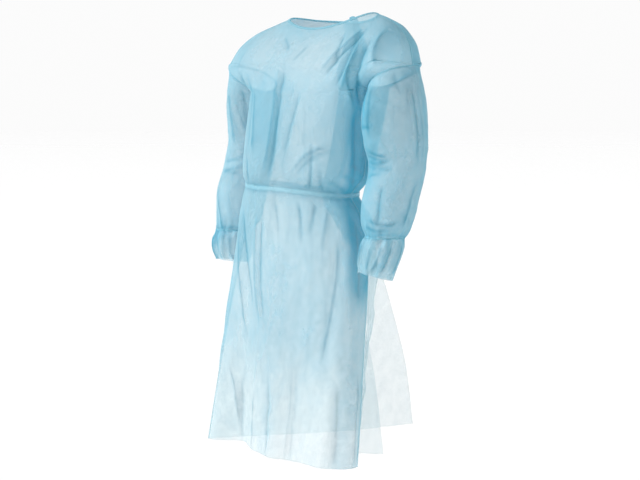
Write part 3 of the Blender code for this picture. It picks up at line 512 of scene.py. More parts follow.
CUFF_CREASES = {
    1: (
        ("front_flat", 84, 18, 76, 98, 0, 9, -3.0, -3.5, 1.6),
        ("front_fold", 56, 10, 60, 98, 0, 7, 3.0, 4.0, 1.5),
        ("side_fold", 24, 14, 34, 98, 0, 8, -3.0, -4.5, 1.5),
        ("outer_fold", -8, 12, -2, 98, 0, 9, 3.0, 4.0, 1.7),
        ("back_fold", -60, 10, -70, 98, 0, 9, -3.0, -4.0, 1.6),
        ("back_ridge", -96, 10, -98, 98, 0, 9, 3.0, 4.0, 1.7),
        ("inner_fold", 122, 10, 118, 98, 0, 9, 3.0, 4.0, 1.6),
    ),
    -1: (
        ("front_fold", 40, 10, 48, 90, 0, 8, 3.0, 4.0, 1.5),
        ("front_trough", 64, 12, 70, 90, 0, 8, -3.0, -4.0, 1.5),
        ("outer_fold", 4, 14, 8, 90, 0, 8, -3.0, -4.0, 1.5),
        ("outer_ridge", -22, 10, -20, 90, 0, 8, 3.0, 4.0, 1.6),
        ("back_fold", -64, 10, -66, 90, 0, 9, -3.0, -4.0, 1.6),
        ("inner_fold", 112, 10, 108, 90, 0, 9, 3.0, 4.0, 1.6),
    ),
}

# Slow waves of the hanging cloth and its fine crumples: the size of one lump across and down, how
# high it stands, and its part of the seed.  Crumples are ridged, and strongest in the lower skirt.
WAVES = ((95, 330, 2.2, 11), (48, 150, 0.9, 12))
CRUMPLES = ((52, 90, 2.8, 21), (27, 40, 1.2, 22))
CRUMPLE_UPPER = 0.35   # the part of the crumples above the hips

# Pleats where the belt and the elastics gather the cloth: waves per round, how far each reaches,
# how high it is, and its phase.
BELT_PLEATS = ((9, 60, 1.6, 0.4), (15, 34, 1.5, 2.1), (26, 18, 1.2, 4.0), (41, 10, 0.8, 1.3))
CUFF_PLEATS = ((7, 48, 1.9, 0.7), (11, 30, 1.8, 2.4), (19, 16, 1.5, 5.1), (31, 9, 1.0, 3.3))
PLEAT_DRIFT = (5, 0.7)     # their spacing swings: radians of the swing per round, and how far
BELT_HOLD = 9.0        # the cloth lies still under the belt, as far as this beside it
FRONT_ROUND = (0.25, 0.75)       # where a panel starts and ends on the way round the body
BACK_ROUND = {1: (0.75, 1.0), -1: (0.25, 0.0)}


def columns_of(names, rows):
    """The table's columns by name: text as a list, numbers as an array."""
    found = {}
    for index, name in enumerate(names.split()):
        column = [row[index] for row in rows]
        found[name] = column if isinstance(column[0], str) else np.array(column, float)
    return found


def smooth(at, knots, values):
    """Cubic Hermite curve through the knots, whose slopes are the harmonic means of the rises on
    both sides, so that it never overshoots."""
    knots = np.asarray(knots, float)
    values = np.asarray(values, float)
    run = np.diff(knots)
    rise = np.diff(values) / run
    slope = np.zeros_like(values)
    both = rise[:-1] * rise[1:]
    mean = 2.0 * both / np.where(both > 0, rise[:-1] + rise[1:], 1.0)
    slope[1:-1] = np.where(both > 0, mean, 0.0)
    slope[0] = rise[0]
    slope[-1] = rise[-1]
    at = np.clip(at, knots[0], knots[-1])
    span = np.clip(np.searchsorted(knots, at, side="right") - 1, 0, len(run) - 1)
    t = (at - knots[span]) / run[span]
    low = (1 + 2 * t) * (1 - t) ** 2 * values[span] + t * (1 - t) ** 2 * run[span] * slope[span]
    high = t * t * (3 - 2 * t) * values[span + 1] - t * t * (1 - t) * run[span] * slope[span + 1]
    return low + high


LEVEL = columns_of(LEVEL_COLUMNS, LEVELS)
LEVEL_AT = {name: float(index) for index, name in enumerate(LEVEL["name"])}
LEVEL_KNOTS = np.arange(len(LEVELS), dtype=float)
FIRST_ARMHOLE_ROW = int(LEVEL["rows"][:SHOULDER_ROWS - 1].sum()) * DETAIL
ARMHOLE_ROWS = int(LEVEL["rows"][SHOULDER_ROWS - 1]) * DETAIL
BELT_ROW = int(LEVEL["rows"][:int(LEVEL_AT["belt"])].sum()) * DETAIL
SLEEVE_SIDES = 2 * ARMHOLE_ROWS


def row_steps(counts):
    """Real-valued places down a table: each span is cut into its own count of rows, and each of
    them into DETAIL more."""
    steps = [np.arange(rows * DETAIL) / (rows * DETAIL) + index
             for index, rows in enumerate(counts) if rows]
    return np.concatenate(steps + [[float(len(counts) - 1)]])


def side_line(side, face, at):
    """The panel's side: shoulder seam, half of the armhole loop, then side seam.

    The loop is middle + half * cos(turn) + depth * sin(turn) + arch * sin(turn)^2, turning from the
    seam's top to the armpit in front (face -1) or behind (face +1)."""
    hand = "left" if side > 0 else "right"
    line = []
    first = LEVEL_KNOTS[:SHOULDER_ROWS]
    rest = LEVEL_KNOTS[SHOULDER_ROWS:]
    turn = np.clip(at - first[-1], 0.0, 1.0) * math.pi
    out = {"x": 0.0, "y": face * ARMHOLE_DEEP * np.sin(turn), "z": ARMHOLE_ARCH * np.sin(turn) ** 2}
    for axis in "xyz":
        values = LEVEL[f"{hand}_{axis}"]
        shoulder = smooth(at, first, values[:SHOULDER_ROWS])
        seam = smooth(at, rest, values[SHOULDER_ROWS:])
        top = values[SHOULDER_ROWS - 1]
        pit = values[SHOULDER_ROWS]
        loop = (top + pit) / 2 + (top - pit) / 2 * np.cos(turn) + out[axis]
        line.append(np.where(at <= first[-1], shoulder, np.where(at < rest[0], loop, seam)))
    return np.stack(line, -1)


def centre_line(face, at):
    """The line down the centre front or the centre back: a smooth curve through the levels."""
    hand = "front" if face < 0 else "back"
    values = [LEVEL["mid_x"], LEVEL[f"{hand}_y"], LEVEL[f"{hand}_z"]]
    return np.stack([smooth(at, LEVEL_KNOTS, value) for value in values], -1)


def armhole_part(at):
    """1 halfway round the armhole, 0 at its ends and on the other rows."""
    return np.sin(np.clip(at - (SHOULDER_ROWS - 1), 0.0, 1.0) * math.pi)


def arm_top_part(at):
    """1 at the top of the armhole, fading out up the shoulder and round the loop to the armpit."""
    top = SHOULDER_ROWS - 1
    above = np.clip((at - top) / 2 + 1, 0.0, 1.0)
    round_it = (1 + np.cos(np.clip(at - top, 0.0, 1.0) * math.pi)) / 2
    return above * above * (3 - 2 * above) * round_it


def ring(face, at, across):
    """A row of the body from side to side: across runs from -1, the right side, to 1, the left.

    x goes straight from the centre to the side; y follows (1 - |across|^full)^(1 / ease), where
    ease falls to nearly 1 at the armhole, so that the row leaves it at a slant; z is a parabola,
    and it rises over the top of the arm."""
    size = np.abs(across)
    full = np.where(across > 0, smooth(at, LEVEL_KNOTS, LEVEL["full_left"])[:, None],
                    smooth(at, LEVEL_KNOTS, LEVEL["full_right"])[:, None])
    ease = full + (ARMHOLE_SLANT - full) * armhole_part(at)[:, None]
    bulge = np.clip(1 - size ** full, 0.0, 1.0) ** (1 / ease)
    centre = centre_line(face, at)[:, None, :]
    left = side_line(1, face, at)[:, None, :]
    right = side_line(-1, face, at)[:, None, :]
    side = np.where(across[..., None] > 0, left, right)
    x = centre[..., 0] + (side[..., 0] - centre[..., 0]) * size
    y = side[..., 1] + (centre[..., 1] - side[..., 1]) * bulge
    z = side[..., 2] + (centre[..., 2] - side[..., 2]) * (1 - size ** 2)
    z = z + ARM_TOP_RISE * arm_top_part(at)[:, None] * np.sin(math.pi * size ** 3)
    return np.stack([x, y, z], -1)


def run_along(rows):
    """How far along its row each point is, in millimetres."""
    gaps = np.linalg.norm(np.diff(rows, axis=1), axis=2)
    return np.concatenate([np.zeros((len(rows), 1)), np.cumsum(gaps, axis=1)], axis=1)


def evenly(rows, count):
    """Each row's points moved along it, so that they are equally far apart."""
    run = run_along(rows)
    run = run / run[:, -1:]
    wanted = np.linspace(0.0, 1.0, count)
    return np.stack([
        np.stack([np.interp(wanted, run[i], rows[i, :, axis]) for axis in range(3)], -1)
        for i in range(len(rows))])


def through(points, count, knot, part):
    """A smooth row through a few points: each axis is a cubic on the distance between them.  The
    knot of that number comes at this part of the row's count, so that a fold there keeps its
    column."""
    run = run_along(points)
    run = run / run[:, -1:]
    even = np.linspace(0.0, 1.0, count)
    rows = []
    for i in range(len(points)):
        wanted = np.interp(even, [0.0, part, 1.0], [0.0, run[i, knot], 1.0])
        rows.append(np.stack([smooth(wanted, run[i], points[i, :, axis]) for axis in range(3)], -1))
    return np.stack(rows)


def normals(grid, facing):
    """Unit normals of a grid of points, from its central differences."""
    down = np.gradient(grid, axis=0)
    along = np.gradient(grid, axis=1)
    out = np.cross(along, down) * facing
    return out / np.linalg.norm(out, axis=-1, keepdims=True)


def unit(way):
    """The same directions with length 1."""
    return way / np.maximum(np.linalg.norm(way, axis=-1, keepdims=True), 1e-9)


def eased(value):
    """A smooth step from 0 to 1."""
    value = np.clip(value, 0.0, 1.0)
    return value * value * (3 - 2 * value)


def from_line(x, y, table, i):
    """Where each point lies by a fold's line: the part t along it, how far it is aside of the line
    bowed by 4 * bend * t * (1 - t), and how far beyond its ends."""
    dx = table["x1"][i] - table["x0"][i]
    dy = table["y1"][i] - table["y0"][i]
    long = math.hypot(dx, dy)
    t = ((x - table["x0"][i]) * dx + (y - table["y0"][i]) * dy) / long ** 2
    aside = ((x - table["x0"][i]) * dy - (y - table["y0"][i]) * dx) / long
    t_in = np.clip(t, 0.0, 1.0)
    aside = aside - table["bend"][i] * 4 * t_in * (1 - t_in)
    return t_in, aside, (t - t_in) * long


def fold_heights(x, y, folds):
    """The frame's large folds: the sum of high * exp(-(distance / width)^2)."""
    out = np.zeros_like(x)
    if not folds:
        return out
    table = columns_of(FOLD_COLUMNS, folds)
    for i in range(len(folds)):
        t_in, aside, beyond = from_line(x, y, table, i)
        high = table["high0"][i] + (table["high1"][i] - table["high0"][i]) * t_in
        out += high * np.exp(-(aside ** 2 + beyond ** 2) / table["width"][i] ** 2)
    return out


def crease_heights(x, y, creases):
    """The creases' heights, and how strongly each point is marked by them, for a bluer tone and
    painted shade: a soft band as wide as the crease, and a thin line along its middle.

    A section is exp(-|aside / width|^crisp), less a wide shallow flank, so that a ridge takes its
    cloth from both sides; along its line a crease fades in and out over CREASE_FADE of its
    length."""
    table = columns_of(CREASE_COLUMNS, creases)
    out = np.zeros_like(x)
    mark = np.zeros_like(x)
    for i in range(len(creases)):
        t_in, aside, beyond = from_line(x, y, table, i)
        width = table["width"][i]
        high = table["high0"][i] + (table["high1"][i] - table["high0"][i]) * t_in
        fade = eased(np.minimum(t_in, 1 - t_in) / CREASE_FADE) * np.exp(-(beyond / width) ** 2)
        section = np.exp(-np.abs(aside / width) ** table["crisp"][i])
        line = np.exp(-np.abs(aside / (MARK_NARROW * width)) ** table["crisp"][i])
        flank = CREASE_FLANK * np.exp(-(aside / (CREASE_SPREAD * width)) ** 2)
        out += CREASE_RELIEF * high * fade * (section - flank)
        core = np.exp(-np.abs(aside / MARK_CORE) ** MARK_CRISP)
        soft = MARK_SOFT * min(MARK_WIDEST / width, 1.0) ** MARK_CRISP
        drawn = soft * line + (1 - MARK_SOFT) * core
        mark += np.minimum(np.abs(high) / CREASE_FULL, 1.0) * fade * drawn
    return out, np.minimum(mark, 1.0)


def lumps(x, y, across, down, seed):
    """Smooth noise from -1 to 1: seeded heights on a lattice of that size, joined by smooth
    steps."""
    u = (x - x.min()) / across
    v = (y - y.min()) / down
    u0 = u.astype(int)
    v0 = v.astype(int)
    height = np.random.default_rng(seed).uniform(-1, 1, (v0.max() + 2, u0.max() + 2))
    fu = eased(u - u0)
    fv = eased(v - v0)
    upper = height[v0, u0] * (1 - fu) + height[v0, u0 + 1] * fu
    lower = height[v0 + 1, u0] * (1 - fu) + height[v0 + 1, u0 + 1] * fu
    return upper * (1 - fv) + lower * fv


def facets(x, y, across, down, seed):
    """Crumpled facets: near each point of a jittered lattice lies a tilted, slightly hollow piece,
    step * high + tilt . (du, dv) + du^2 + dv^2, and the surface is the lowest of them.  Returns the
    heights from about -1 to 1, and how near each point is to the fold between two pieces."""
    rng = np.random.default_rng(seed)
    u = (x - x.min()) / across + 1
    v = (y - y.min()) / down + 1
    u0 = u.astype(int)
    v0 = v.astype(int)
    size = (v0.max() + 3, u0.max() + 3)
    centre_u, centre_v = rng.uniform(0.0, 1.0, (2,) + size)
    tilt_u, tilt_v, high = rng.uniform(-1.0, 1.0, (3,) + size)
    lowest = np.full_like(u, FACET_FAR)
    second = np.full_like(u, FACET_FAR)
    for row in (-1, 0, 1):
        for column in (-1, 0, 1):
            i = v0 + row
            j = u0 + column
            du = u - j - centre_u[i, j]
            dv = v - i - centre_v[i, j]
            slant = FACET_TILT * (tilt_u[i, j] * du + tilt_v[i, j] * dv)
            piece = FACET_STEP * high[i, j] + slant + du ** 2 + dv ** 2
            second = np.minimum(second, np.maximum(lowest, piece))
            lowest = np.minimum(lowest, piece)
    return 2 * lowest, np.exp(-((second - lowest) / FOLD_NARROW) ** 2)


def loose_heights(x, y, strength, seed):
    """Slow waves, and crumples where strength lets them show.  Returns the heights and the folds of
    the crumples, from 0 to 1."""
    out = np.zeros_like(x)
    folds = np.zeros_like(x)
    for across, down, high, number in WAVES:
        out += high * lumps(x, y, across, down, seed + number)
    for across, down, high, number in CRUMPLES:
        height, fold = facets(x + y * CRUMPLE_SLANT, y, across, down, seed + number)
        out += high * height * strength
        folds = np.maximum(folds, fold * strength)
    return out, folds


def patches(x, y, table):
    """The sum of soft round patches: amount * exp(-(x / half across)^2 - (y / half down)^2)."""
    out = np.zeros_like(x)
    for x0, y0, across, down, amount in table:
        out += amount * np.exp(-((x - x0) / across) ** 2 - ((y - y0) / down) ** 2)
    return out


def pleats(part_round, off, waves):
    """Gathers beside a belt or an elastic: waves round the body that die out away from it, as
    high * sin(2 pi * number * part + phase + drift) * exp(-off / reach)."""
    out = np.zeros_like(off * part_round)
    turns, amount = PLEAT_DRIFT
    for number, reach, high, phase in waves:
        drift = amount * np.sin(turns * part_round + phase)
        wave = np.sin(2 * math.pi * number * part_round + phase + drift)
        out = out + high * wave * np.exp(-off / reach)
    return out


def ripples(part, waves):
    """The sum of high * sin(2 pi * number * part + phase) along a strip."""
    return sum(high * np.sin(2 * math.pi * number * part + phase) for number, high, phase in waves)


def on_spread(grid, zero, down_at):
    """Each point's place on the spread cloth: across from one column, and down another."""
    x = run_along(grid)
    x = x - x[:, zero:zero + 1]
    y = run_along(grid[None, :, down_at])[0][:, None]
    return x, y + np.zeros_like(x)


def held(off, reach):
    """0 where cloth is held, 1 - exp(-(off / reach)^2) away from there."""
    return 1 - np.exp(-(off / reach) ** 2)


def panel(grid, facing, x, y, folds, creases, crumpled, seed, way_round, free_edge):
    """A body panel: the grid moved out by its large folds, its creases, waves, crumples and the
    belt's pleats.  All of them fade out at a sewn side, and under the belt.  Returns the grid, its
    places on the spread cloth, and its marks: of creases, of crumples, and how crumpled it is."""
    run = x - x[:, :1]
    width = run[:, -1:]
    from_side = run if free_edge else np.minimum(run, width - run)
    large = fold_heights(x, y, folds) * held(from_side, SEAM_HOLD)
    base = grid + normals(grid, facing) * large[..., None]
    down = run_along(np.swapaxes(base, 0, 1)).T
    off = np.abs(down - down[BELT_ROW])
    fine, mark = crease_heights(x, y, creases)
    loose, crumples = loose_heights(x, y, crumpled, seed)
    fine = fine + loose
    round_from, round_to = way_round
    part_round = round_from + (round_to - round_from) * run / width
    fine = fine + pleats(part_round, off, BELT_PLEATS)
    off_belt = np.maximum(off - BELT_WIDTH / 2, 0.0)
    still = held(from_side, CREASE_HOLD) * held(off_belt, BELT_HOLD)
    still = still * eased(down / NECK_HOLD)
    made = base + normals(base, facing) * (fine * still)[..., None]
    # beside the belt the gathers are marked too, bluer and with painted shade
    gathered = GATHER_MARK * np.exp(-(off / GATHER_REACH) ** 2)
    return made, x, y, (mark * still + gathered, crumples * still, crumpled * still)


def crumple_share(y, levels):
    """How crumpled the cloth is: a little above the hips, and fully in the lower skirt."""
    full_at, none_at = levels
    return CRUMPLE_UPPER + (1 - CRUMPLE_UPPER) * eased((y - none_at) / (full_at - none_at))


def front_base(count):
    """The front without its folds: each row runs along the ring from the right side to the left."""
    at = row_steps(LEVEL["rows"].astype(int))
    across = np.sin(np.linspace(-1.0, 1.0, 2 * FINE + 1) * math.pi / 2)
    return evenly(ring(-1, at, np.broadcast_to(across, (len(at), len(across)))), count)


def fine_count(columns):
    """How many points the frame's row of that many has when each step is cut into DETAIL."""
    return (columns - 1) * DETAIL + 1


def front_panel():
    """The front with its folds and creases: columns from the right side to the left."""
    count = fine_count(FRONT_COLUMNS)
    grid = front_base(count)
    middle = int(round((count - 1) * (FRONT_COLUMNS // 2) / (FRONT_COLUMNS - 1)))
    x, y = on_spread(grid, middle, middle)
    share = crumple_share(y, FRONT_CRUMPLED)
    return panel(grid, -1, x, y, FRONT_FOLDS, FRONT_CREASES, share, FRONT_SEED, FRONT_ROUND, False)


def back_base(side, count):
    """A back panel without its creases: the ring as far as its free edge, and below the belt a row
    that leaves the ring through its mid point and its turn to the free edge, faded in from the belt
    to the hip.  The right one is moved out where it laps over the left."""
    at = row_steps(LEVEL["rows"].astype(int))
    reach = -BACK_REACH * side
    across = np.sin(np.linspace(math.pi / 2, math.asin(-BACK_REACH), FINE)) * side
    on_ring = evenly(ring(1, at, np.broadcast_to(across, (len(at), FINE))), count)
    table = columns_of(BACK_COLUMNS, BACK_LEFT if side > 0 else BACK_RIGHT)
    belt = LEVEL_AT["belt"]
    knots = np.array([belt] + [LEVEL_AT[name] for name in table["level"]])
    starts = np.array([[side * MID_ON_RING, side * TURN_ON_RING, reach]])
    at_belt = ring(1, np.array([belt]), starts)[0]
    points = [side_line(side, 1, at)]
    for place, start in zip(("mid", "turn", "edge"), at_belt):
        x = smooth(at, knots, np.append(start[0], table[f"{place}_x"]))
        y = smooth(at, knots, np.append(start[1], table[f"{place}_y"]))
        points.append(np.stack([x, y, np.zeros_like(x)], -1))
    edge_z = smooth(at, knots, np.append(at_belt[2, 2], table["edge_z"]))
    points = np.stack(points, 1)
    drop = (edge_z - points[:, 0, 2])[:, None] * np.array(DROP_SHARES)
    points[..., 2] = points[:, :1, 2] + drop
    free = through(points, count, TURN_KNOT, TURN_PART)
    fade = eased((at - belt) / (LEVEL_AT["hip"] - belt))[:, None, None]
    grid = on_ring + (free - on_ring) * fade
    if side < 0:
        lap = np.clip((np.linspace(0.0, 1.0, count) - LAP_START) / LAP_RISE, 0.0, 1.0)
        grid = grid + normals(grid, -side) * (lap * LAP)[None, :, None]
    return grid


def back_panel(side):
    """A back panel with its creases: columns from its side seam to its free edge."""
    grid = back_base(side, fine_count(BACK_PANEL_COLUMNS))
    x, y = on_spread(grid, 0, -1)
    share = crumple_share(y, BACK_CRUMPLED)
    return panel(grid, -side, x, y, (), BACK_CREASES[side], share, BACK_SEEDS[side],
                 BACK_ROUND[side], True)


def tube(side, table, top, sides, gathers=0, gather_depth=0.0):
    """A sleeve or cuff as an open grid from underarm to underarm, the outer side in the middle:
    each ring is middle + across * cos(turn) + deep * sin(turn), where the turn is 0 at the outer
    side and positive in front; rise and pitch tip the ring, and gathers swell it in waves.  On a
    sleeve the armhole's arch dies out over the first step of its table."""
    table = columns_of(TUBE_COLUMNS, table)
    counts = list(table["rows"].astype(int))
    columns = {name: table[name] for name in ("x", "y", "z", "across", "deep", "rise", "pitch")}
    if top:
        counts = [SLEEVE_TOP_ROWS] + counts
        columns = {name: np.append(top[name], column) for name, column in columns.items()}
    at = row_steps(counts)
    knots = np.arange(len(counts), dtype=float)
    value = {name: smooth(at, knots, column)[:, None] for name, column in columns.items()}
    turn = np.linspace(-math.pi, math.pi, sides + 1)[None]
    swell = 1 + gather_depth / value["across"] * np.cos(gathers * turn)
    x = value["x"] + side * value["across"] * swell * np.cos(turn)
    y = value["y"] - value["deep"] * swell * np.sin(turn)
    z = value["z"] + value["rise"] * np.cos(turn) + value["pitch"] * np.sin(turn)
    if top:
        z = z + ARMHOLE_ARCH * np.clip(1 - at, 0.0, 1.0)[:, None] ** 2 * np.sin(turn) ** 2
    return np.stack([x, y, z], -1)


def armhole_top(side):
    """The first ring of a sleeve: the armhole loop as a middle and half sizes."""
    hand = "left" if side > 0 else "right"
    top = [LEVEL[f"{hand}_{axis}"][SHOULDER_ROWS - 1] for axis in "xyz"]
    pit = [LEVEL[f"{hand}_{axis}"][SHOULDER_ROWS] for axis in "xyz"]
    middle = [(a + b) / 2 for a, b in zip(top, pit)]
    return {"x": middle[0], "y": middle[1], "z": middle[2], "across": abs(top[0] - pit[0]) / 2,
            "deep": ARMHOLE_DEEP, "rise": (top[2] - pit[2]) / 2, "pitch": 0.0}


def arm_piece(side, grid, creases, strength, top_held, elastic_row, seed):
    """A sleeve or a cuff with its creases, waves and crumples, and the elastic's pleats.  They fade
    out at the underarm seam and, on a sleeve, at the armhole.  Returns what panel returns."""
    middle = grid.shape[1] // 2
    x, y = on_spread(grid, middle, middle)
    run = x - x[:, :1]
    from_seam = np.minimum(run, run[:, -1:] - run)
    down = run_along(np.swapaxes(grid, 0, 1)).T
    off = np.abs(down - down[elastic_row])
    fine, mark = crease_heights(x, y, creases)
    loose, crumples = loose_heights(x, y, strength, seed)
    fine = fine + loose
    still = held(from_seam, CREASE_HOLD)
    if top_held:
        still = still * held(down, SEAM_CALM)
    still = still * held(off, ELASTIC_HOLD)
    part_round = np.linspace(0.0, 1.0, grid.shape[1])[None]
    gathers = pleats(part_round, off, CUFF_PLEATS) * (ELASTIC_PART + (1 - ELASTIC_PART) * still)
    moved = fine * still + gathers * np.sin(math.pi * part_round) ** ROUND_FADE
    made = grid + normals(grid, side) * moved[..., None]
    return made, x, y, (mark * still, crumples * still, strength * still)


def sleeve(side):
    """A sleeve, from the armhole down to its elastic."""
    rows = SLEEVE_LEFT if side > 0 else SLEEVE_RIGHT
    grid = tube(side, rows, armhole_top(side), SLEEVE_SIDES)
    return arm_piece(side, grid, SLEEVE_CREASES[side], SLEEVE_CRUMPLED, True, -1,
                     SLEEVE_SEEDS[side])


def cuff(side):
    """A cuff, from the elastic down to its edge."""
    rows = CUFF_LEFT if side > 0 else CUFF_RIGHT
    grid = tube(side, rows, None, SLEEVE_SIDES, CUFF_GATHERS, CUFF_GATHER_DEPTH)
    return arm_piece(side, grid, CUFF_CREASES[side], CUFF_CRUMPLED, False, 0, CUFF_SEEDS[side])


def on_grid(grid, rows, columns):
    """Points and outward normals of the body's grid at fractional rows and columns, by straight
    interpolation."""
    out = normals(grid, -1)
    r = np.clip(np.floor(rows).astype(int), 0, grid.shape[0] - 2)
    c = np.clip(np.floor(columns).astype(int), 0, grid.shape[1] - 2)
    u = (rows - r)[..., None]
    v = (columns - c)[..., None]
    found = []
    for field in (grid, out):
        upper = field[r, c] * (1 - v) + field[r, c + 1] * v
        lower = field[r + 1, c] * (1 - v) + field[r + 1, c + 1] * v
        found.append(upper * (1 - u) + lower * u)
    return found[0], unit(found[1])


# ---------------------------------------------------------------- meshes

def cloth_object(name, grid, x, y, thick, values, material, closed=False):
    """A piece from its grid: faces between neighbours, a UV map in metres of the spread cloth, its
    float attributes, and a Solidify modifier for the cloth's thickness.  A piece without a
    thickness is a solid one, whose poles are welded."""
    rows, columns = grid.shape[:2]
    last = columns - 1 if closed else columns
    index = np.arange(rows * last).reshape(rows, last)
    wrapped = np.concatenate([index, index[:, :1]], axis=1) if closed else index
    corners = [wrapped[:-1, :-1], wrapped[1:, :-1], wrapped[1:, 1:], wrapped[:-1, 1:]]
    faces = np.stack(corners, -1).reshape(-1, 4)
    mesh = bpy.data.meshes.new(name)
    mesh.from_pydata((grid[:, :last].reshape(-1, 3) * MM).tolist(), [], faces.tolist())
    whole = np.arange(rows * columns).reshape(rows, columns)
    places = [whole[:-1, :-1], whole[1:, :-1], whole[1:, 1:], whole[:-1, 1:]]
    places = np.stack(places, -1).reshape(-1)
    uv = np.stack([x.reshape(-1)[places], y.reshape(-1)[places]], -1) * MM
    mesh.uv_layers.new(name="cloth").data.foreach_set("uv", uv.astype(np.float32).ravel())
    for key, value in values.items():
        full = np.broadcast_to(value, (rows, columns))[:, :last]
        attribute = mesh.attributes.new(key, "FLOAT", "POINT")
        attribute.data.foreach_set("value", np.ascontiguousarray(full, np.float32).ravel())
    mesh.shade_smooth()
    mesh.update()
    mesh.materials.append(material)
    piece = bpy.data.objects.new(name, mesh)
    bpy.context.scene.collection.objects.link(piece)
    if thick:
        wall = piece.modifiers.new("thickness", "SOLIDIFY")
        wall.thickness = thick * MM
        wall.offset = 0.0
    else:
        piece.modifiers.new("poles", "WELD").merge_threshold = POLE_WELD * MM
    return piece


# ---------------------------------------------------------------- straps and seams

def body_wrap(front, backs):
    """All the way round the body on one grid: right back, front, left back."""
    return np.concatenate([backs[-1][:, :0:-1], front, backs[1][:, 1:]], axis=1)


def lifted_strip(wrap, rows, columns, lifts):
    """The grid's points at these rows and columns, moved out: one column of the strip per lift."""
    points, out = on_grid(wrap, rows, columns)
    return points + out * np.array(lifts)[None, :, None]


def seam_strip(wrap, column, first, last):
    """A seam along a column: the cloth's allowance, laid over and topstitched, from row to row."""
    rows = np.arange(first, last + 1, dtype=float)
    along = np.linalg.norm(wrap[first:last + 1, column] - wrap[first:last + 1, column - 1], axis=-1)
    aside = np.linspace(-0.5, 0.5, len(SEAM_LIFTS))[None] * SEAM_WIDTH / along[:, None]
    rows = np.broadcast_to(rows[:, None], aside.shape)
    return lifted_strip(wrap, rows, column + aside, SEAM_LIFTS)


def armhole_strip(front, back, arm, side):
    """The armhole's seam: a ring whose inner half lies on the body and whose outer half lies on the
    sleeve, from the underarm by the back and the top to the underarm again."""
    hole = slice(FIRST_ARMHOLE_ROW, FIRST_ARMHOLE_ROW + ARMHOLE_ROWS + 1)
    edge, inner = (-1, -2) if side > 0 else (0, 1)
    rim = np.concatenate([back[hole, 0][:0:-1], front[hole, edge]])
    on_body = np.concatenate([back[hole, 1][:0:-1], front[hole, inner]]) - rim
    on_arm = arm[1] - arm[0]
    back_out = normals(back, -side)[hole, 0][:0:-1]
    body_out = np.concatenate([back_out, normals(front, -1)[hole, edge]])
    out = unit(body_out + normals(arm, side)[0])
    half = SEAM_WIDTH / 2
    sides = [rim + unit(on_body) * half, rim, rim + unit(on_arm) * half]
    return np.stack([place + out * lift for place, lift in zip(sides, SEAM_LIFTS)], 1)


def elastic_strip(arm, side):
    """The elastic in its casing round the end of a sleeve, rippled by its gathers: the sleeve's
    last ring, moved along the sleeve and out by the ripples, which fade out at the underarm."""
    rim = arm[-1]
    way = unit(arm[-1] - arm[-3])
    out = normals(arm, side)[-1]
    part = np.linspace(0.0, 1.0, len(rim))
    ripple = ripples(part, ELASTIC_RIPPLES)[:, None]
    fade = np.sin(math.pi * part)[:, None] ** ROUND_FADE
    across = np.linspace(-0.5, 0.5, len(ELASTIC_LIFTS))
    slip = ELASTIC_SLIP * np.roll(ripple, ELASTIC_LAG, axis=0)
    strips = [rim + way * (place * ELASTIC_WIDTH + slip * fade) + out * (lift + ripple * fade)
              for place, lift in zip(across, ELASTIC_LIFTS)]
    return np.stack(strips, 1)


def belt_strip(wrap, row, knot_column):
    """From the knot up over the lap, round the right side, the front and the left side to the knot.
    The edges of the folded belt are lower than its middle, and it wanders a little."""
    last = wrap.shape[1] - 1
    left_back = np.arange(last, last - (BACK_PANEL_COLUMNS - 1) * DETAIL, -1)
    along = np.linalg.norm(wrap[row, 1:] - wrap[row, :-1], axis=-1)
    clear = KNOT_LONG / KNOT_TO_STRAP / along[int(knot_column)]
    landing = np.interp(wrap[row, 0, 0] + STRAP_STEP, wrap[row, left_back, 0], left_back)
    start = knot_column + clear
    end = knot_column - clear
    over_lap = np.linspace(start, landing, LAP_STEPS)
    columns = np.concatenate([over_lap, np.arange(math.ceil(end)), [end]])
    down = run_along(np.swapaxes(wrap, 0, 1)).T
    whole = np.arange(last + 1.0)
    part = np.linspace(0.0, 1.0, len(columns))
    wander = ripples(part, BELT_WANDER)
    number, pinch, phase = BELT_PINCH
    narrow = 1 - pinch * np.sin(2 * math.pi * number * part + phase) ** 2
    per_row = np.interp(columns, whole, down[row + 1] - down[row - 1]) / 2
    across = np.linspace(-0.5, 0.5, len(BELT_LIFTS))[None] * BELT_WIDTH * narrow[:, None]
    at_rows = row + (across + wander[:, None]) / per_row[:, None]
    at_columns = np.broadcast_to(columns[:, None], at_rows.shape)
    return lifted_strip(wrap, at_rows, at_columns, BELT_LIFTS)


def binding_strip(wrap, knot_column):
    """The neck binding: a strip folded over the neck edge, from the neck knot round to the left
    back panel's free edge.  Its section is BINDING_SECTION, and its lower parts are puckered."""
    along = np.linalg.norm(wrap[0, 1:] - wrap[0, :-1], axis=-1)
    first = knot_column + KNOT_LONG / KNOT_TO_STRAP / along[int(knot_column)]
    columns = np.append(first, np.arange(math.ceil(first), wrap.shape[1]))
    per_row = np.linalg.norm(wrap[1] - wrap[0], axis=-1)
    up = unit(wrap[0] - wrap[1])
    whole = np.arange(wrap.shape[1])
    part = np.linspace(0.0, 1.0, len(columns))
    pucker = ripples(part, BINDING_PUCKERS)
    section = []
    for deep, lift in BINDING_SECTION:
        at_rows = np.interp(columns, whole, max(deep, 0.0) / per_row)
        points, way = on_grid(wrap, at_rows, columns)
        above = np.stack([np.interp(columns, whole, up[:, axis]) for axis in range(3)], -1)
        puckered = lift + np.sign(lift) * pucker * (deep > PUCKER_BELOW)
        section.append(points + way * puckered[:, None] + above * max(-deep, 0.0))
    return np.stack(section, 1)


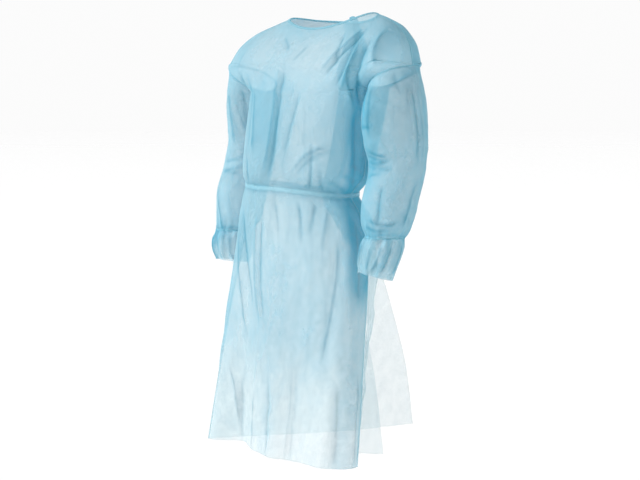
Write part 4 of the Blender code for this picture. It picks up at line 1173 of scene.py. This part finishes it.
def knot_grid(wrap, row, column, phase):
    """A strap's knot: a flat ball squared in its outline, sign(cos) * |cos|^power for each cosine,
    with a band across its middle, a groove on each side of the band, and pleats that run out to
    the straps."""
    place, out = on_grid(wrap, np.array([float(row)]), np.array([column]))
    ahead, _ = on_grid(wrap, np.array([float(row)]), np.array([column + 1.0]))
    along = unit(ahead - place)[0]
    out = unit(out[0] - along * (out[0] @ along))
    up = np.cross(out, along)
    up = up * np.sign(up[2])
    middle = place[0] + out * (KNOT_LIFT + KNOT_DEEP / 2)
    tilt = np.linspace(-math.pi / 2, math.pi / 2, KNOT_RINGS)[:, None]
    turn = np.linspace(0.0, 2 * math.pi, KNOT_SIDES + 1)[None]

    def squared(value):
        """A cosine that stays near 1 or -1 for longer."""
        return np.sign(value) * np.abs(value) ** KNOT_SQUARE

    part = np.cos(tilt) * squared(np.cos(turn))
    height = np.cos(tilt) * squared(np.sin(turn))
    half, high = KNOT_BAND
    band = np.exp(-(part / half) ** 4)
    groove_at, groove_wide, groove_deep = KNOT_GROOVE
    groove = np.exp(-((np.abs(part) - groove_at) / groove_wide) ** 2)
    waves_up, waves_along, pleat_high = KNOT_PLEATS
    pleat = np.cos(math.pi * (waves_up * height + waves_along * part) + phase)
    swell = 1 + high * band - groove_deep * groove + pleat_high * pleat * (1 - band)
    swell = swell - KNOT_TAPER * np.abs(part) ** 3
    x = part * KNOT_LONG / 2
    y = height * KNOT_HIGH / 2 * swell
    z = np.sin(tilt) * KNOT_DEEP / 2 * swell * (1 - KNOT_THIN * part ** 2)
    grid = middle + x[..., None] * along + y[..., None] * up + z[..., None] * out
    return np.swapaxes(grid, 0, 1)


def end_length(length):
    """The whole length of an end that hangs this far below its knot: a little of it is inside."""
    return length + KNOT_HIGH * END_TUCK + END_GAP


def end_strip(wrap, row, column, wander, length, width, phase):
    """A free end: it leaves the knot's lower side and hangs down along the body's columns, with a
    slow twist, a curl at its foot and a ridge along its fold."""
    near = int(column)
    path = run_along(wrap[:, near][None])[0]
    first = path[row] + KNOT_HIGH * END_START
    share = np.linspace(0.0, 1.0, END_STEPS)
    rows = np.interp(first + end_length(length) * share, path, np.arange(len(path)))
    each = np.linalg.norm(wrap[:, near + 1] - wrap[:, near], axis=-1)
    along = np.interp(rows, np.arange(len(path)), each)
    amount, waves = END_SWAY
    sway = amount * wander * np.sin(2 * math.pi * (waves * share + phase))
    speed, begun = END_PARTING
    middle = column + math.copysign(END_APART, wander) * eased(share * speed + begun) / along
    middle = middle + wander * share ** 2 + sway
    open_out = END_PINCH + (1 - END_PINCH) * eased(share * END_OPENS)
    across = np.linspace(-0.5, 0.5, len(END_PROFILE))[None] * width * open_out[:, None]
    columns = middle[:, None] + across / along[:, None]
    at_rows = np.broadcast_to(rows[:, None], columns.shape)
    points, out = on_grid(wrap, at_rows, columns)
    amount, waves = END_TWIST
    twist = amount * np.sin(2 * math.pi * (waves * share + phase))[:, None] * across / width
    loose = END_LIFT + END_BOW * np.sin(math.pi * share) ** 2 + END_CURL * share ** 3
    lift = loose[:, None] + np.array(END_PROFILE)[None] + twist
    return points + out * lift[..., None]


def strip_object(name, grid, thick, tone, material, closed=False, stitched=True):
    """A strap or seam from its grid: u runs across the strip from its middle, and v along it.  tone
    holds how blue it is at places evenly spread along it; its stitches run beside both edges."""
    grid = np.swapaxes(grid, 0, 1)
    along = run_along(grid)
    across = run_along(np.swapaxes(grid, 0, 1)).T
    across = across - across[-1:] / 2
    part = np.linspace(0.0, 1.0, grid.shape[1])
    deep = np.interp(part, np.linspace(0.0, 1.0, np.size(tone)), np.ravel(tone))[None]
    if stitched:
        from_stitch = across[-1:] - np.abs(across) - STITCH_IN
    else:
        from_stitch = np.full_like(across, STITCH_NONE)
    values = {"tone": deep, "crumple": 0.0, "hollow": 0.0, "stitch": from_stitch * MM}
    return cloth_object(name, grid, across, along, thick, values, material, closed)


def seam_column(side):
    """The column of the body's grid where the front meets that side's back panel."""
    right = fine_count(BACK_PANEL_COLUMNS) - 1
    return right if side < 0 else right + fine_count(FRONT_COLUMNS) - 1


# ---------------------------------------------------------------- materials

def linear(code):
    """The linear colour, with alpha 1, of an sRGB hex code, by the standard's own curve."""
    parts = [int(code[i:i + 2], 16) / 255 for i in (0, 2, 4)]
    return tuple(part / 12.92 if part <= 0.04045 else ((part + 0.055) / 1.055) ** 2.4
                 for part in parts) + (1.0,)


def node(tree, kind, inputs=None, **settings):
    """Adds a node with its settings; each input is a value, or the (node, output) that it takes."""
    made = tree.nodes.new(kind)
    for key, value in settings.items():
        setattr(made, key, value)
    for key, value in (inputs or {}).items():
        if isinstance(value, tuple) and isinstance(value[0], bpy.types.Node):
            tree.links.new(value[0].outputs[value[1]], made.inputs[key])
        else:
            made.inputs[key].default_value = value
    return made


def spunbond(name, colours, cover, sewn=False):
    """Spunbonded polypropylene nonwoven: fine fibres laid at random and joined by a grid of pressed
    points.  To the eye it is a matt, slightly cloudy veil, which lets the layer behind it through
    and gets bluer where it lies double or turns away."""
    material = bpy.data.materials.new(name)
    material.use_nodes = True
    tree = material.node_tree
    shader = tree.nodes["Principled BSDF"]
    place = node(tree, "ShaderNodeUVMap", uv_map="cloth")
    tone = node(tree, "ShaderNodeAttribute", attribute_name="tone")
    # clouds: where more or fewer fibres fell, lumps of 20 to 30 mm drawn out along the web
    stretched = node(tree, "ShaderNodeMapping", {"Vector": (place, "UV"), "Scale": (1.0, 0.5, 1.0)})
    clouds = node(tree, "ShaderNodeTexNoise", {"Vector": (stretched, "Vector"),
                                               "Scale": CLOUDS_PER_M, "Detail": 5.0,
                                               "Roughness": 0.62})
    # fibres: bundles of about 1.5 mm, which are coarser than the real ones of 0.02 mm so as to show
    fibres = node(tree, "ShaderNodeTexNoise", {"Vector": (stretched, "Vector"),
                                               "Scale": FIBRES_PER_M, "Detail": 3.0,
                                               "Roughness": 0.7})
    # pressed points: a diamond grid every 3 mm, coarser than the real one so as to show
    turned = node(tree, "ShaderNodeMapping", {"Vector": (place, "UV"),
                                              "Rotation": (0, 0, math.pi / 4),
                                              "Scale": (POINTS_PER_M,) * 3})
    split = node(tree, "ShaderNodeSeparateXYZ", {"Vector": (turned, "Vector")})
    waves = [node(tree, "ShaderNodeMath", {0: (split, axis)}, operation="SINE") for axis in "XY"]
    points = node(tree, "ShaderNodeMath", {0: (waves[0], 0), 1: (waves[1], 0)},
                  operation="MULTIPLY")
    pressed = node(tree, "ShaderNodeMapRange", {"Value": (points, 0), "From Min": POINTS_EDGE[0],
                                                "From Max": POINTS_EDGE[1]})
    # crinkles: flat facets of about 20 mm between sharp folds, where the cloth is crumpled
    crumple = node(tree, "ShaderNodeAttribute", attribute_name="crumple")
    wobble = node(tree, "ShaderNodeTexNoise", {"Vector": (place, "UV"), "Scale": WOBBLES_PER_M,
                                               "Detail": 2.0})
    swayed = node(tree, "ShaderNodeVectorMath", {0: (wobble, "Color"), 1: WOBBLE,
                                                 2: (stretched, "Vector")},
                  operation="MULTIPLY_ADD")
    cells = node(tree, "ShaderNodeTexVoronoi", {"Vector": (swayed, 0), "Scale": CRINKLES_PER_M},
                 feature="DISTANCE_TO_EDGE")
    crinkled = node(tree, "ShaderNodeMath", {0: (cells, 0), 1: (crumple, "Fac")},
                    operation="MULTIPLY")

    # depth: how much cloth there is, a little uneven by its clouds and fibres, gives the colour
    uneven = [node(tree, "ShaderNodeMapRange", {"Value": (noise, "Fac"), "From Min": NOISE_SPAN[0],
                                                "From Max": NOISE_SPAN[1], "To Min": -amount,
                                                "To Max": amount})
              for noise, amount in ((clouds, CLOUD_TONE), (fibres, FIBRE_TONE))]
    both = node(tree, "ShaderNodeMath", {0: (uneven[0], 0), 1: (uneven[1], 0)}, operation="ADD")
    depth = node(tree, "ShaderNodeMath", {0: (tone, "Fac"), 1: (both, 0)}, operation="ADD",
                 use_clamp=True)
    colour = node(tree, "ShaderNodeMix", {0: (depth, 0), 6: linear(colours[0]),
                                          7: linear(colours[1])}, data_type="RGBA")
    # painted shade: greyer in a fold's hollow and under doubled cloth, where the light is weaker
    hollow = node(tree, "ShaderNodeAttribute", attribute_name="hollow")
    shade = node(tree, "ShaderNodeMath", {0: (hollow, "Fac"), 1: PAINTED_SHADE_STRENGTH},
                 operation="MULTIPLY", use_clamp=True)
    colour = node(tree, "ShaderNodeMix", {0: (shade, 0), 6: (colour, 2), 7: linear(PAINTED_SHADE_COLOUR)},
                  data_type="RGBA")
    # seen slantwise, a ray passes more fibres, so the veil closes towards its outline
    slant = node(tree, "ShaderNodeLayerWeight", {"Blend": SLANT_BLEND})
    closing = node(tree, "ShaderNodeMath", {0: (depth, 0), 1: SLANT_CLOSES}, operation="MULTIPLY")
    closed = node(tree, "ShaderNodeMath", {0: (slant, "Facing"), 1: (closing, 0)},
                  operation="MULTIPLY")
    covered = node(tree, "ShaderNodeMapRange", {"Value": (depth, 0), "To Min": cover[0],
                                                "To Max": cover[1]})
    dotted = node(tree, "ShaderNodeMath", {0: (pressed, 0), 1: -POINTS_CLEAR, 2: (covered, 0)},
                  operation="MULTIPLY_ADD")
    rest = node(tree, "ShaderNodeMath", {0: 1.0, 1: (dotted, 0)}, operation="SUBTRACT")
    alpha = node(tree, "ShaderNodeMath", {0: (rest, 0), 1: (closed, 0), 2: (dotted, 0)},
                 operation="MULTIPLY_ADD", use_clamp=True)
    # relief: the web's clouds and fibres stand up, and the points are pressed in
    lifted = node(tree, "ShaderNodeMath", {0: (clouds, "Fac"), 1: CLOUD_RELIEF, 2: (fibres, "Fac")},
                  operation="MULTIPLY_ADD")
    relief = node(tree, "ShaderNodeMath", {0: (lifted, 0), 1: (pressed, 0)}, operation="SUBTRACT")
    if sewn:
        # stitches: raised dashes of pale blue thread, along the lines where attribute stitch is 0
        line = node(tree, "ShaderNodeAttribute", attribute_name="stitch")
        along = node(tree, "ShaderNodeSeparateXYZ", {"Vector": (place, "UV")})
        beat = node(tree, "ShaderNodeMath", {0: (along, "Y"), 1: STITCH_LONG}, operation="PINGPONG")
        dash = node(tree, "ShaderNodeMath", {0: (beat, 0), 1: STITCH_LONG * STITCH_GAP},
                    operation="GREATER_THAN")
        beside = node(tree, "ShaderNodeMath", {0: (line, "Fac"), 1: 0.0, 2: STITCH_HALF},
                      operation="COMPARE")
        stitch = node(tree, "ShaderNodeMath", {0: (dash, 0), 1: (beside, 0)}, operation="MULTIPLY")
        relief = node(tree, "ShaderNodeMath", {0: (stitch, 0), 1: STITCH_RELIEF, 2: (relief, 0)},
                      operation="MULTIPLY_ADD")
        colour = node(tree, "ShaderNodeMix", {0: (stitch, 0), 6: (colour, 2),
                                              7: linear(THREAD_COLOUR)}, data_type="RGBA")
    facet = node(tree, "ShaderNodeBump", {"Height": (crinkled, 0), "Distance": CRINKLE_DEEP})
    bump = node(tree, "ShaderNodeBump", {"Height": (relief, 0), "Strength": BUMP_STRENGTH,
                                         "Distance": BUMP_DEEP, "Normal": (facet, 0)})
    # the melted points are smoother than the web between them
    rough = node(tree, "ShaderNodeMapRange", {"Value": (pressed, 0), "To Min": WEB_ROUGHNESS,
                                              "To Max": WEB_ROUGHNESS - POINTS_SMOOTH})
    for made, output, socket in ((colour, 2, "Base Color"), (alpha, 0, "Alpha"),
                                 (rough, 0, "Roughness"), (bump, "Normal", "Normal")):
        tree.links.new(made.outputs[output], shader.inputs[socket])
    # a typical refractive index of polypropylene, and the faint sheen of its fibres; a painted
    # glow, a faint emission of the cloth, stands in for light that passes through the web from
    # behind and keeps its shadows blue
    for socket, value in (("IOR", 1.49), ("Specular IOR Level", 0.35), ("Sheen Weight", 0.12),
                          ("Sheen Roughness", 0.4), ("Sheen Tint", linear(SHEEN_COLOUR)),
                          ("Emission Color", linear(PAINTED_GLOW_COLOUR)), ("Emission Strength", PAINTED_GLOW)):
        shader.inputs[socket].default_value = value
    return material


# ---------------------------------------------------------------- pieces

def dress(piece, nodes, slot, flat=None, area=None, held_by="hung", rests_on=(), with_pieces=()):
    """Attaches a piece to the root body and hides its nodes' parts of the frame; its slot and its
    cut are not used.
    """
    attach(piece, "root")
    if nodes:
        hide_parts(*nodes)


def step(value, span):
    """A smooth step from 0 to 1, from where the span starts and over its length."""
    start, long = span
    return eased((value - start) / long)


def front_tone(x, y, marks):
    """How blue the front is: deepest down the near side, partly as painted shade, and palest in the
    lower skirt.
    """
    creases, crumples, _ = marks
    inner, top, foot = NEAR_SPANS
    paler, paler_span = FRONT_PALER
    low = step(y, LOW_SPAN)
    tone = FRONT_TONE - paler * step(y, paler_span)
    near = step(x, inner) * step(y, top) * (1 - step(y, foot))
    tone = tone + NEAR_BLUER_AND_SHADE * near + LOW_NEAR_BLUER * (step(x, LOW_NEAR_SPAN) * low)
    tone = tone + patches(x, y, FRONT_PATCHES)
    tone = tone + MARK_TONE * (1 - LOW_MARKS * low) * creases
    return tone + (CRUMPLE_TONE - CRUMPLE_HIGHLIGHT * low) * crumples


def back_tone(side, x, y, marks):
    """How blue a back panel is: like the front down to the hips, and nearly white below them."""
    creases, crumples, _ = marks
    paler, span = BACK_PALER
    low = step(y, span)
    tone = BACK_TONE - paler * low + patches(x, y, BACK_PATCHES[side])
    tone = tone + BACK_MARKS * MARK_TONE * creases
    return tone + (CRUMPLE_TONE - BACK_MARKS * CRUMPLE_HIGHLIGHT * low) * crumples


def arm_tone(x, y, marks, tone, seam_at, table):
    """How blue a sleeve is: deeper by the seams at its top and its end, and in its creases."""
    creases, crumples, _ = marks
    top, top_reach = ARM_TOP_BLUER
    end, end_reach = ARM_END_BLUER
    tone = tone + top * np.exp(-y / top_reach) + end * np.exp(-np.abs(seam_at - y) / end_reach)
    return tone + patches(x, y, table) + MARK_TONE * creases + CRUMPLE_TONE * crumples


def cloth_piece(name, made, tone, hollow, material, closed=False):
    """A panel, sleeve or cuff: its grid, how blue and crumpled it is, and its painted shade."""
    grid, x, y, marks = made
    values = {"tone": tone, "crumple": marks[2], "hollow": hollow}
    return cloth_object(name, grid, x, y, CLOTH_THICK, values, material, closed)


def make_seams(side, hand, wrap, front, back, arm, material):
    """One side's seams: shoulder, side and armhole, and the elastic of the cuff."""
    column = seam_column(side)
    pit_row = FIRST_ARMHOLE_ROW + ARMHOLE_ROWS
    strips = (
        ("shoulder_seam", seam_strip(wrap, column, 1, FIRST_ARMHOLE_ROW), SEAM_TONE, False),
        ("side_seam", seam_strip(wrap, column, pit_row + 1, len(wrap) - 1), SIDE_SEAM_TONE, False),
        ("armhole_seam", armhole_strip(front, back, arm, side), SEAM_TONE, True),
        ("cuff_elastic", elastic_strip(arm, side), SEAM_TONE, True),
    )
    return [strip_object(f"{name}_{hand}", grid, STRAP_THICK / 2, tone, material, closed)
            for name, grid, tone, closed in strips]


def make_cloth(veil, double):
    """The panels, sleeves and cuffs, and their seams.  Returns the body's grid."""
    made = front_panel()
    front, x, y, marks = made
    # the front's painted shade: its crease marks, and patches of more or less
    shade = marks[0] + patches(x, y, FRONT_PAINTED_SHADES)
    front_piece = cloth_piece("gown_front", made, front_tone(x, y, marks), shade, veil)
    backs = {}
    pieces = {}
    for side, hand in SIDES:
        made = back_panel(side)
        backs[side], x, y, marks = made
        pieces["back", hand] = cloth_piece(f"gown_back_{hand}", made, back_tone(side, x, y, marks),
                                           BACK_PAINTED_SHADE * marks[0], veil)
    wrap = body_wrap(front, backs)
    seams = {}
    for side, hand in SIDES:
        made = sleeve(side)
        arm, x, y, marks = made
        tone = arm_tone(x, y, marks, SLEEVE_TONE[side], y[-1].mean(), SLEEVE_PATCHES[side])
        shade = marks[0] + patches(x, y, SLEEVE_PAINTED_SHADES[side])
        pieces["sleeve", hand] = cloth_piece(f"gown_sleeve_{hand}", made, tone, shade, veil, True)
        made = cuff(side)
        _, x, y, marks = made
        tone = arm_tone(x, y, marks, CUFF_TONE, 0.0, CUFF_PATCHES[side])
        pieces["cuff", hand] = cloth_piece(f"gown_cuff_{hand}", made, tone, marks[0], veil, True)
        seams[hand] = make_seams(side, hand, wrap, front, backs[side], arm, double)
    for sewn in seams.values():
        for piece in sewn:
            dress(piece, (), "gown_nonwoven")
    dress(front_piece, ["front_panel"], "gown_nonwoven", *FRONT_CUT)
    for _, hand in SIDES:
        dress(pieces["back", hand], [f"back_panel_{hand}"], "gown_nonwoven", *BACK_CUT[hand],
              with_pieces=seams[hand][:2])
        dress(pieces["sleeve", hand], [f"sleeve_{hand}"], "gown_nonwoven", *SLEEVE_CUT[hand],
              with_pieces=seams[hand][2:])
        dress(pieces["cuff", hand], [f"cuff_{hand}"], "cuff_nonwoven", *CUFF_CUT[hand],
              held_by="gathered")
    return wrap


def make_straps(wrap, double):
    """The free ends, their knots, the belt and the neck's binding."""
    backs = ["gown_back_left", "gown_back_right"]
    knots = {}
    for index, (name, level, column, wander, length, width) in enumerate(TIES):
        row = BELT_ROW if level == "belt" else 0
        column = (column * DETAIL) % (wrap.shape[1] - 1)
        knots[level] = (row, column)
        grid = end_strip(wrap, row, column, wander * DETAIL, length, width, END_PHASE * index)
        end = strip_object(name.replace("end", "free_end"), grid, STRAP_THICK, END_TONE, double)
        dress(end, [name], "belt_nonwoven", (width * MM, end_length(length) * MM), rests_on=backs)
    for index, (level, (row, column)) in enumerate(knots.items()):
        name = {"belt": "belt_knot", "neckline": "neck_knot"}[level]
        grid = knot_grid(wrap, row, column, KNOT_PHASE * index)
        knot = strip_object(f"{name}_tied", grid, None, KNOT_TONE, double, True, False)
        dress(knot, [name], "belt_nonwoven")
    grid = belt_strip(wrap, *knots["belt"])
    belt = strip_object("waist_belt_folded", grid, STRAP_THICK, BELT_TONE, double)
    dress(belt, ["waist_belt"], "belt_nonwoven", (BELT_WIDTH * MM, BELT_LONG), held_by="stretched",
          rests_on=["gown_front"] + backs)
    grid = binding_strip(wrap, knots["neckline"][1])
    binding = strip_object("neck_binding_folded", grid, BINDING_THICK, BINDING_TONE, double)
    dress(binding, ["neck_binding"], "belt_nonwoven")


def set_stage():
    """A pale floor, a white surround and soft lights, and the camera."""
    floor = bpy.data.meshes.new("floor")
    reach = FLOOR_REACH
    corners = [(-reach, -reach, FLOOR_Z), (reach, -reach, FLOOR_Z), (reach, reach, FLOOR_Z),
               (-reach, reach, FLOOR_Z)]
    floor.from_pydata(corners, [], [(0, 1, 2, 3)])
    white = bpy.data.materials.new("matt_white_studio_floor")
    white.use_nodes = True
    tree = white.node_tree
    shader = tree.nodes["Principled BSDF"]
    for socket, value in (("Base Color", linear("FAFAFA")), ("Roughness", 0.9),
                          ("Emission Color", linear("FFFFFF")), ("Emission Strength", FLOOR_GLOW)):
        shader.inputs[socket].default_value = value
    # far off, the floor fades into the white surround
    where = node(tree, "ShaderNodeTexCoord")
    far = node(tree, "ShaderNodeVectorMath", {0: (where, "Object")}, operation="LENGTH")
    fade = node(tree, "ShaderNodeMapRange", {"Value": (far, "Value"), "From Min": FLOOR_FADE[0],
                                             "From Max": FLOOR_FADE[1], "To Min": 1.0,
                                             "To Max": 0.0})
    tree.links.new(fade.outputs[0], shader.inputs["Alpha"])
    floor.materials.append(white)
    ground = bpy.data.objects.new("floor", floor)
    bpy.context.scene.collection.objects.link(ground)

    world = bpy.data.worlds.new("white_studio")
    bpy.context.scene.world = world
    world.use_nodes = True
    tree = world.node_tree
    way = node(tree, "ShaderNodeTexCoord")
    split = node(tree, "ShaderNodeSeparateXYZ", {"Vector": (way, "Generated")})
    strength = node(tree, "ShaderNodeMapRange", {"Value": (split, "Z"), "From Min": WHITE_BAND,
                                                 "From Max": WHITE_BAND + WHITE_FADE,
                                                 "To Min": WHITE_STRENGTH, "To Max": SKY_STRENGTH})
    tree.nodes["Background"].inputs["Color"].default_value = (1, 1, 1, 1)
    tree.links.new(strength.outputs[0], tree.nodes["Background"].inputs["Strength"])

    sun = bpy.data.lights.new("key", "SUN")
    sun.energy = KEY_STRENGTH
    sun.angle = math.radians(KEY_SOFTNESS)
    key = bpy.data.objects.new("key", sun)
    bpy.context.scene.collection.objects.link(key)
    key.rotation_mode = "QUATERNION"
    key.rotation_quaternion = Vector(KEY_WAY).to_track_quat("-Z", "Y")

    lens = bpy.data.cameras.new("camera")
    lens.sensor_width = 36.0
    lens.lens = CAMERA_LENS
    lens.clip_end = 200.0
    camera = bpy.data.objects.new("camera", lens)
    bpy.context.scene.collection.objects.link(camera)
    turn = math.radians(CAMERA_TURN)
    camera.location = (CAMERA_FAR * math.sin(turn), -CAMERA_FAR * math.cos(turn), CAMERA_HIGH)
    yaw = turn + math.radians(CAMERA_YAW)
    camera.rotation_euler = (math.pi / 2 - math.radians(CAMERA_DOWN), 0.0, yaw)
    bpy.context.scene.camera = camera
    bpy.context.scene.view_settings.view_transform = "Standard"
    bpy.context.scene.cycles.transparent_max_bounces = LIGHT_STEPS


def main():
    """Makes every piece and the stage."""
    veil = spunbond("spunbond_polypropylene_light_blue", VEIL_COLOURS, VEIL_COVER)
    double = spunbond("spunbond_polypropylene_sewn_double", SEWN_COLOURS, SEWN_COVER, sewn=True)
    make_straps(make_cloth(veil, double), double)
    set_stage()


main()
